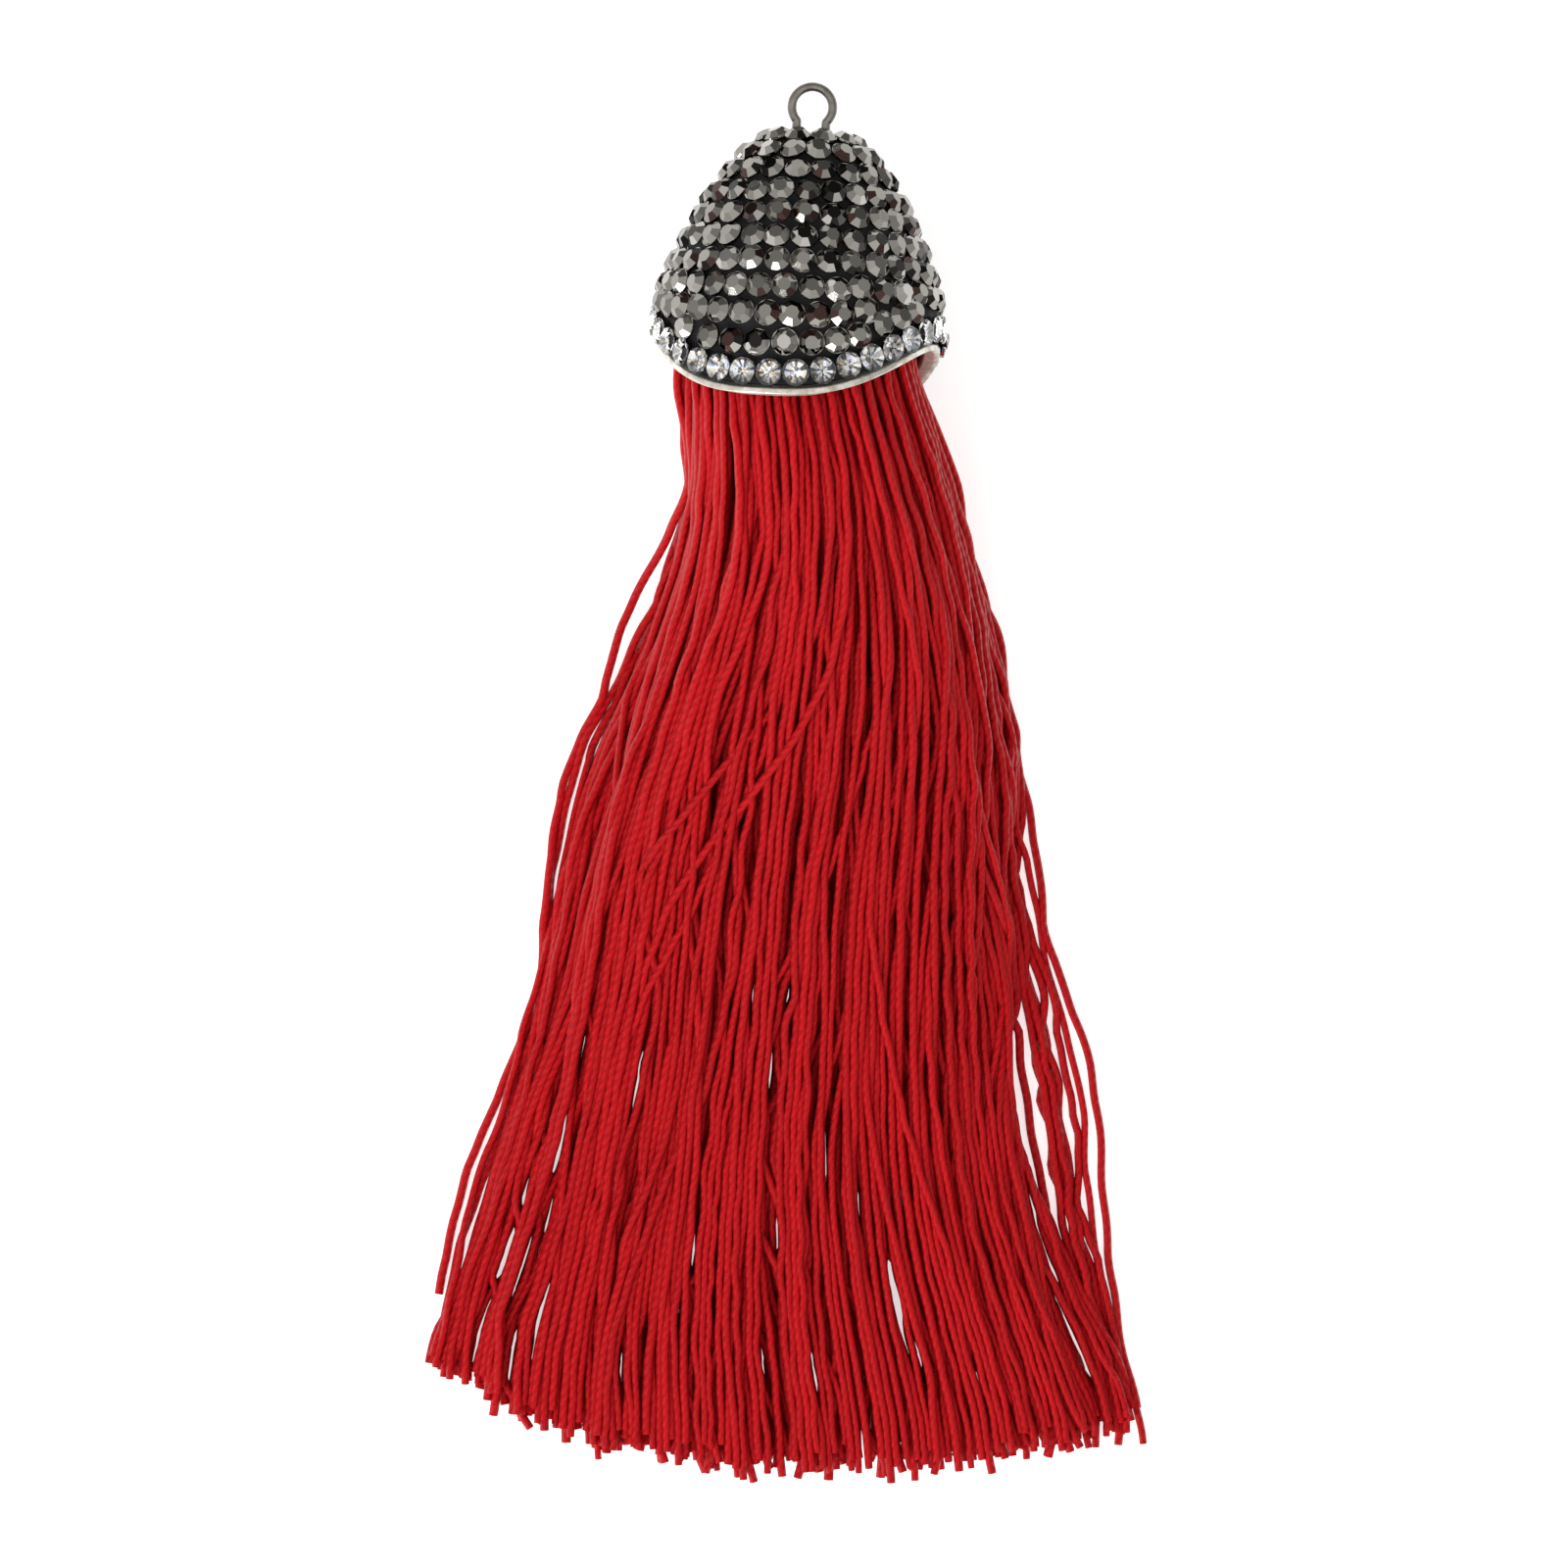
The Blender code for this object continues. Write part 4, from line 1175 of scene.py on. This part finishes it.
def gather_threads(along, unit, chance):
    """Places of the threads in the unit disc at each station, gathered in drifting locks."""
    centres = round_places(LOCKS) * LOCK_SPREAD
    lock = np.linalg.norm(unit[:, None] - centres[None], axis=2).argmin(axis=1)
    free = np.clip((RELEASED_AT - along) / (RELEASED_AT - FREE_AT), 0, 1)[:, None]
    left, right, *_ = section_values(along)
    half = (right - left) / 2
    swing = np.sin(3 * drift(chance, along, LOCKS, CLING_WAVES))
    cling = CLING * free * (CLING_MEAN + CLING_SWING * swing)
    across, up = (
        centres[lock, axis] + (unit - centres[lock])[:, axis] * (1 - cling[:, lock])
        for axis in (0, 1)
    )
    across += LOCK_DRIFT * free * drift(chance, along, LOCKS, LOCK_WAVES)[:, lock] / half
    reach = THREAD_DRIFT * (HELD_DRIFT + free)
    across += reach * drift(chance, along, THREADS, ACROSS_WAVES) / half
    up += UPWARD_DRIFT * THREAD_DRIFT * free * drift(chance, along, THREADS, UPWARD_WAVES) / half
    edge = np.clip(across, -EDGE, EDGE)
    even = (np.arcsin(edge) + edge * np.sqrt(1 - edge**2)) * 2 / math.pi
    across += SPREAD * free * (even - edge)
    return across, up


def lay_wanderers(along, unit, across, up, chance):
    """Moves threads on top along the sweeps, and others a little way from where they are."""
    top = np.argsort(-unit[:, 1])
    taken = []
    starts = chance.uniform(*WANDER_STARTS, WANDERERS)
    first = chance.uniform(*WANDER_PLACES, WANDERERS)
    stops = starts - chance.uniform(*WANDER_RUNS, WANDERERS)
    last = first + chance.normal(0, WANDER_VEER, WANDERERS)
    last = np.clip(last, -WANDER_EDGE, WANDER_EDGE)
    for start, stop, here, there in [*SWEEPS, *zip(starts, stops, first, last)]:
        thread = next(i for i in top if i not in taken and abs(unit[i, 0] - here) < WANDER_NEAR)
        taken.append(thread)
        share = np.clip((start - along) / (start - stop), 0, 1)
        share = share * share * (3 - 2 * share)
        held = np.clip((start + WANDER_RISE - along) / WANDER_RISE, 0, 1)
        wanted = here + (there - here) * share
        across[:, thread] += held * (wanted - across[:, thread])
        up[:, thread] += held * (1.0 - up[:, thread])


def skein_targets(along, chance):
    """Where each thread would lie if none took any room, and the strays' fixed ways."""
    unit = round_places(THREADS)
    across, up = gather_threads(along, unit, chance)
    lay_wanderers(along, unit, across, up, chance)
    places = part_locks(heap_place(along, across, up), along)
    fixed = np.full(places.shape[:2], np.nan)
    order = np.argsort(unit[:, 0])
    ends = {"left": list(order), "right": list(order[::-1])}
    strays = []
    for side, way in STRAYS:
        thread = ends[side].pop(0)
        strays.append(thread)
        begin = way[0][0]
        route = np.interp(along, *np.array(way[::-1]).T)
        share = np.clip((begin + STRAY_BLEND - along) / STRAY_BLEND, 0, 1)
        fixed[:, thread] = toward(places[:, thread, 0], route, share)
        down = np.clip((begin - along) / (begin - STRAY_LANDS), 0, 1)
        places[:, thread, 1] = toward(places[:, thread, 1], THREAD_RADIUS, down)
    return places, fixed, strays


def open_partings(aims, along):
    """For each parting: its stations, its line, each thread's side of it and its half widths."""
    found = []
    for across, level, half_width, half_length in PARTINGS:
        rows = np.nonzero(np.abs(along - level) < half_length + STATION_STEP)[0]
        line = parting_line(along, across, level)[rows][:, None]
        side = np.sign((aims[rows, :, 0] - line).mean(axis=0) + 1e-6)
        limit = half_width * (1 - ((along[rows] - level) / (half_length + STATION_STEP)) ** 2)
        found.append((rows, line, side, limit[:, None]))
    return found


def near_pairs(places, radii):
    """Pairs of threads that lie near each other at a station, and the room that they need."""
    count = len(radii)
    found = []
    for station, section in enumerate(places):
        offset = section[:, None] - section[None]
        near = (offset**2).sum(axis=2) < NEIGHBOUR_REACH**2
        found.append(np.stack(np.nonzero(np.triu(near, 1))) + station * count)
    pairs = np.concatenate(found, axis=1)
    return pairs, radii[pairs[0] % count] + radii[pairs[1] % count]


def comb(places, fixed, along, radii):
    """Gives every thread its room, above the floor and inside the cup."""
    in_cup = along > CUP_END
    axis_x = CROWN_X - (CROWN_Y - along) * math.tan(LEAN)
    axis = np.stack([axis_x, np.full_like(along, CAP_RADIUS)], 1)[in_cup, None]
    aims = places.copy()
    aims[..., 0] = np.where(np.isnan(fixed), places[..., 0], fixed)
    places = aims.copy()
    partings = open_partings(aims, along)
    for turn in range(COMB_ROUNDS):
        if turn % PAIRS_KEPT == 0:
            pairs, room = near_pairs(places, radii)
        flat = places.reshape(-1, 2)
        offset = flat[pairs[0]] - flat[pairs[1]]
        distance = np.linalg.norm(offset, axis=1) + 1e-6
        push = COMB_FORCE * np.clip(room - distance, 0, None)[:, None] * offset / distance[:, None]
        for side in (0, 1):
            flat[:, side] += np.bincount(pairs[0], push[:, side], len(flat))
            flat[:, side] -= np.bincount(pairs[1], push[:, side], len(flat))
        places = flat.reshape(places.shape)
        bend = places[:-2] + places[2:] - 2 * places[1:-1]
        places[1:-1] += COMB_STIFFNESS * bend
        places += COMB_PULL * (aims - places)
        for rows, line, side, limit in partings:
            away = (places[rows, :, 0] - line) * side
            places[rows, :, 0] = line + side * np.maximum(away, limit + radii)
        places[..., 1] = np.maximum(places[..., 1], SHOWN_SWELL * radii)
        from_axis = places[in_cup] - axis
        reach = np.linalg.norm(from_axis, axis=2, keepdims=True)
        places[in_cup] -= from_axis * np.clip(1 - CUP_ROOM / reach, 0, None)
        places[..., 0] = np.where(np.isnan(fixed), places[..., 0], fixed)
    return places


def seen_share(places, radii):
    """How much of each thread is seen from above."""
    seen = np.zeros(places.shape[:2])
    for station, section in enumerate(places):
        taken = set()
        for thread in np.argsort(-section[:, 1]):
            low = int((section[thread, 0] - radii[thread]) / SEEN_CELL)
            high = int((section[thread, 0] + radii[thread]) / SEEN_CELL)
            cells = set(range(low, high + 1))
            seen[station, thread] = len(cells - taken) / len(cells)
            taken |= cells
    return seen[SEEN_FROM:].mean(axis=0)


def cut_levels(across, strays, chance):
    """Where each thread is cut off: an uneven arc, with one thread longer."""
    ends = np.interp(across, *np.array(CUT_LINE).T)
    ends += chance.uniform(-1, 1, len(ends)) * CUT_UNEVENNESS
    ends -= np.minimum(chance.exponential(CUT_REACH, len(ends)), LONGEST_REACH)
    ends[np.argmin(np.abs(across - LONGEST_ACROSS))] = LONGEST_END
    for thread, (_, way) in zip(strays, STRAYS):
        if way[-1][0] > SHORT_STRAY:
            ends[thread] = max(ends[thread], way[-1][0])
    return np.maximum(ends, LONGEST_END)


def thread_lines():
    """The line of every thread, with its thickness, and the order in which they are seen."""
    chance = np.random.default_rng(SEED)
    along = np.arange(SECTIONS[0][0], SECTIONS[-1][0] - STATION_STEP, -STATION_STEP)
    radii = THREAD_RADIUS * (1 + THREAD_UNEVENNESS * chance.normal(0, 1, THREADS).clip(-2, 2))
    aims, fixed, strays = skein_targets(along, chance)
    places = comb(aims, fixed, along, radii)
    places[..., 0] += WAVE * drift(chance, along, THREADS, SHORT_WAVES)
    seen = seen_share(places, radii)
    seen[strays] = 1.0
    ends = cut_levels(places[CUT_STATION, :, 0], strays, chance)
    lines = []
    for thread, end in enumerate(ends):
        levels = np.append(along[along > end + SHORTEST_STEP], end)
        across, height = (np.interp(-levels, -along, places[:, thread, axis]) for axis in (0, 1))
        lines.append(np.column_stack([across, levels, height]))
    return lines, radii, np.argsort(-seen)


def make_threads(tree, finish):
    """All threads: the best seen ones in four pieces, and the others in one with fewer sides."""
    chance = np.random.default_rng(SEED + 3)
    lines, radii, order = thread_lines()
    shade = chance.uniform(0, 1, THREADS)
    phase = chance.uniform(0, 2 * math.pi, THREADS)
    shown, hidden = order[:SHOWN_THREADS], order[SHOWN_THREADS:]
    shown = shown[np.argsort([lines[i][:, 0].mean() for i in shown])]
    batches = [(f"shown_threads_{number}", batch, SHOWN_STEP, SHOWN_SIDES, SHOWN_SWELL)
               for number, batch in enumerate(np.array_split(shown, PIECES_OF_SHOWN), start=1)]
    batches.append(("inner_threads", hidden, HIDDEN_STEP, HIDDEN_SIDES, HIDDEN_SWELL))
    for name, batch, step, sides, swell in batches:
        mesh = line_mesh([lines[i] for i in batch], thickness=radii[batch] * swell,
                         phase=phase[batch], shade=shade[batch])
        made = baked(tree, mesh, Finish=finish, Step=step, Sides=sides)
        made.transform(TO_FLOOR)
        place(name, made, "thread", "thread_skirt")


def make_floor():
    """A pale floor a little under the tassel."""
    shell = bmesh.new()
    bmesh.ops.create_grid(shell, x_segments=1, y_segments=1, size=FLOOR_HALF_WIDTH)
    mesh = to_mesh("floor", shell)
    mesh.materials.append(pale_floor())
    floor = show(bpy.data.objects.new("floor", mesh))
    floor.location.z = -FLOOR_GAP


def make_light():
    """An even bright room, dimmer behind and at the right, and one soft lamp."""
    world = bpy.data.worlds.new("studio")
    world.use_nodes = True
    bpy.context.scene.world = world
    tree = world.node_tree
    background = tree.nodes["Background"]
    facing = add(tree, "ShaderNodeTexCoord").outputs["Generated"]
    side = add(tree, "ShaderNodeSeparateXYZ", {0: facing}).outputs
    height = spread(tree, side[2], 0.4, 1.2, 0.0, 0.5)
    behind = spread(tree, side[1], 1.0, 0.3, 0.1, 0.75)
    right = spread(tree, side[0], 1.0, 0.5, 0.2, 0.9)
    sides = maths(tree, "MULTIPLY", behind, right)
    join(tree, background, Strength=maths(tree, "MULTIPLY", height, sides))
    background.inputs["Color"].default_value = colour(1.0, 0.995, 0.98)
    light = bpy.data.lights.new("lower_left_softbox", "AREA")
    light.shape = "RECTANGLE"
    light.size, light.size_y = LAMP_WIDTH, LAMP_DEPTH
    light.energy = LAMP_POWER
    lamp = show(bpy.data.objects.new("lower_left_softbox", light))
    lamp.location = LAMP_PLACE
    lamp.rotation_euler = (-lamp.location).to_track_quat("-Z", "Y").to_euler()


def make_camera():
    """The camera, straight above the tassel."""
    data = bpy.data.cameras.new("camera")
    data.lens = CAMERA_LENS
    data.sensor_width = SENSOR
    data.clip_start, data.clip_end = CAMERA_CLIP
    camera = show(bpy.data.objects.new("camera", data))
    crown = Vector((CROWN_X, CROWN_Y, 0.0)) + SHIFT
    camera.location = Vector((crown.x + CAMERA_ACROSS, crown.y + CAMERA_ALONG, CAMERA_HEIGHT)) * MM
    bpy.context.scene.camera = camera


make_camera()
make_floor()
make_light()
bpy.context.scene.view_settings.view_transform = "Standard"
crystal_seats, crystal_outwards = crystal_places()
stone_seats, stone_outwards = stone_places(crystal_seats)
settings = setting_tree()
make_wire(gunmetal())
make_cup(silver())
make_clay(black_clay(), stone_seats, crystal_seats)
make_stones(settings, polished_stone(), stone_seats, stone_outwards)
make_crystals(settings, clear_crystal(), crystal_foil(), crystal_seats, crystal_outwards)
make_threads(thread_tree(), red_thread())
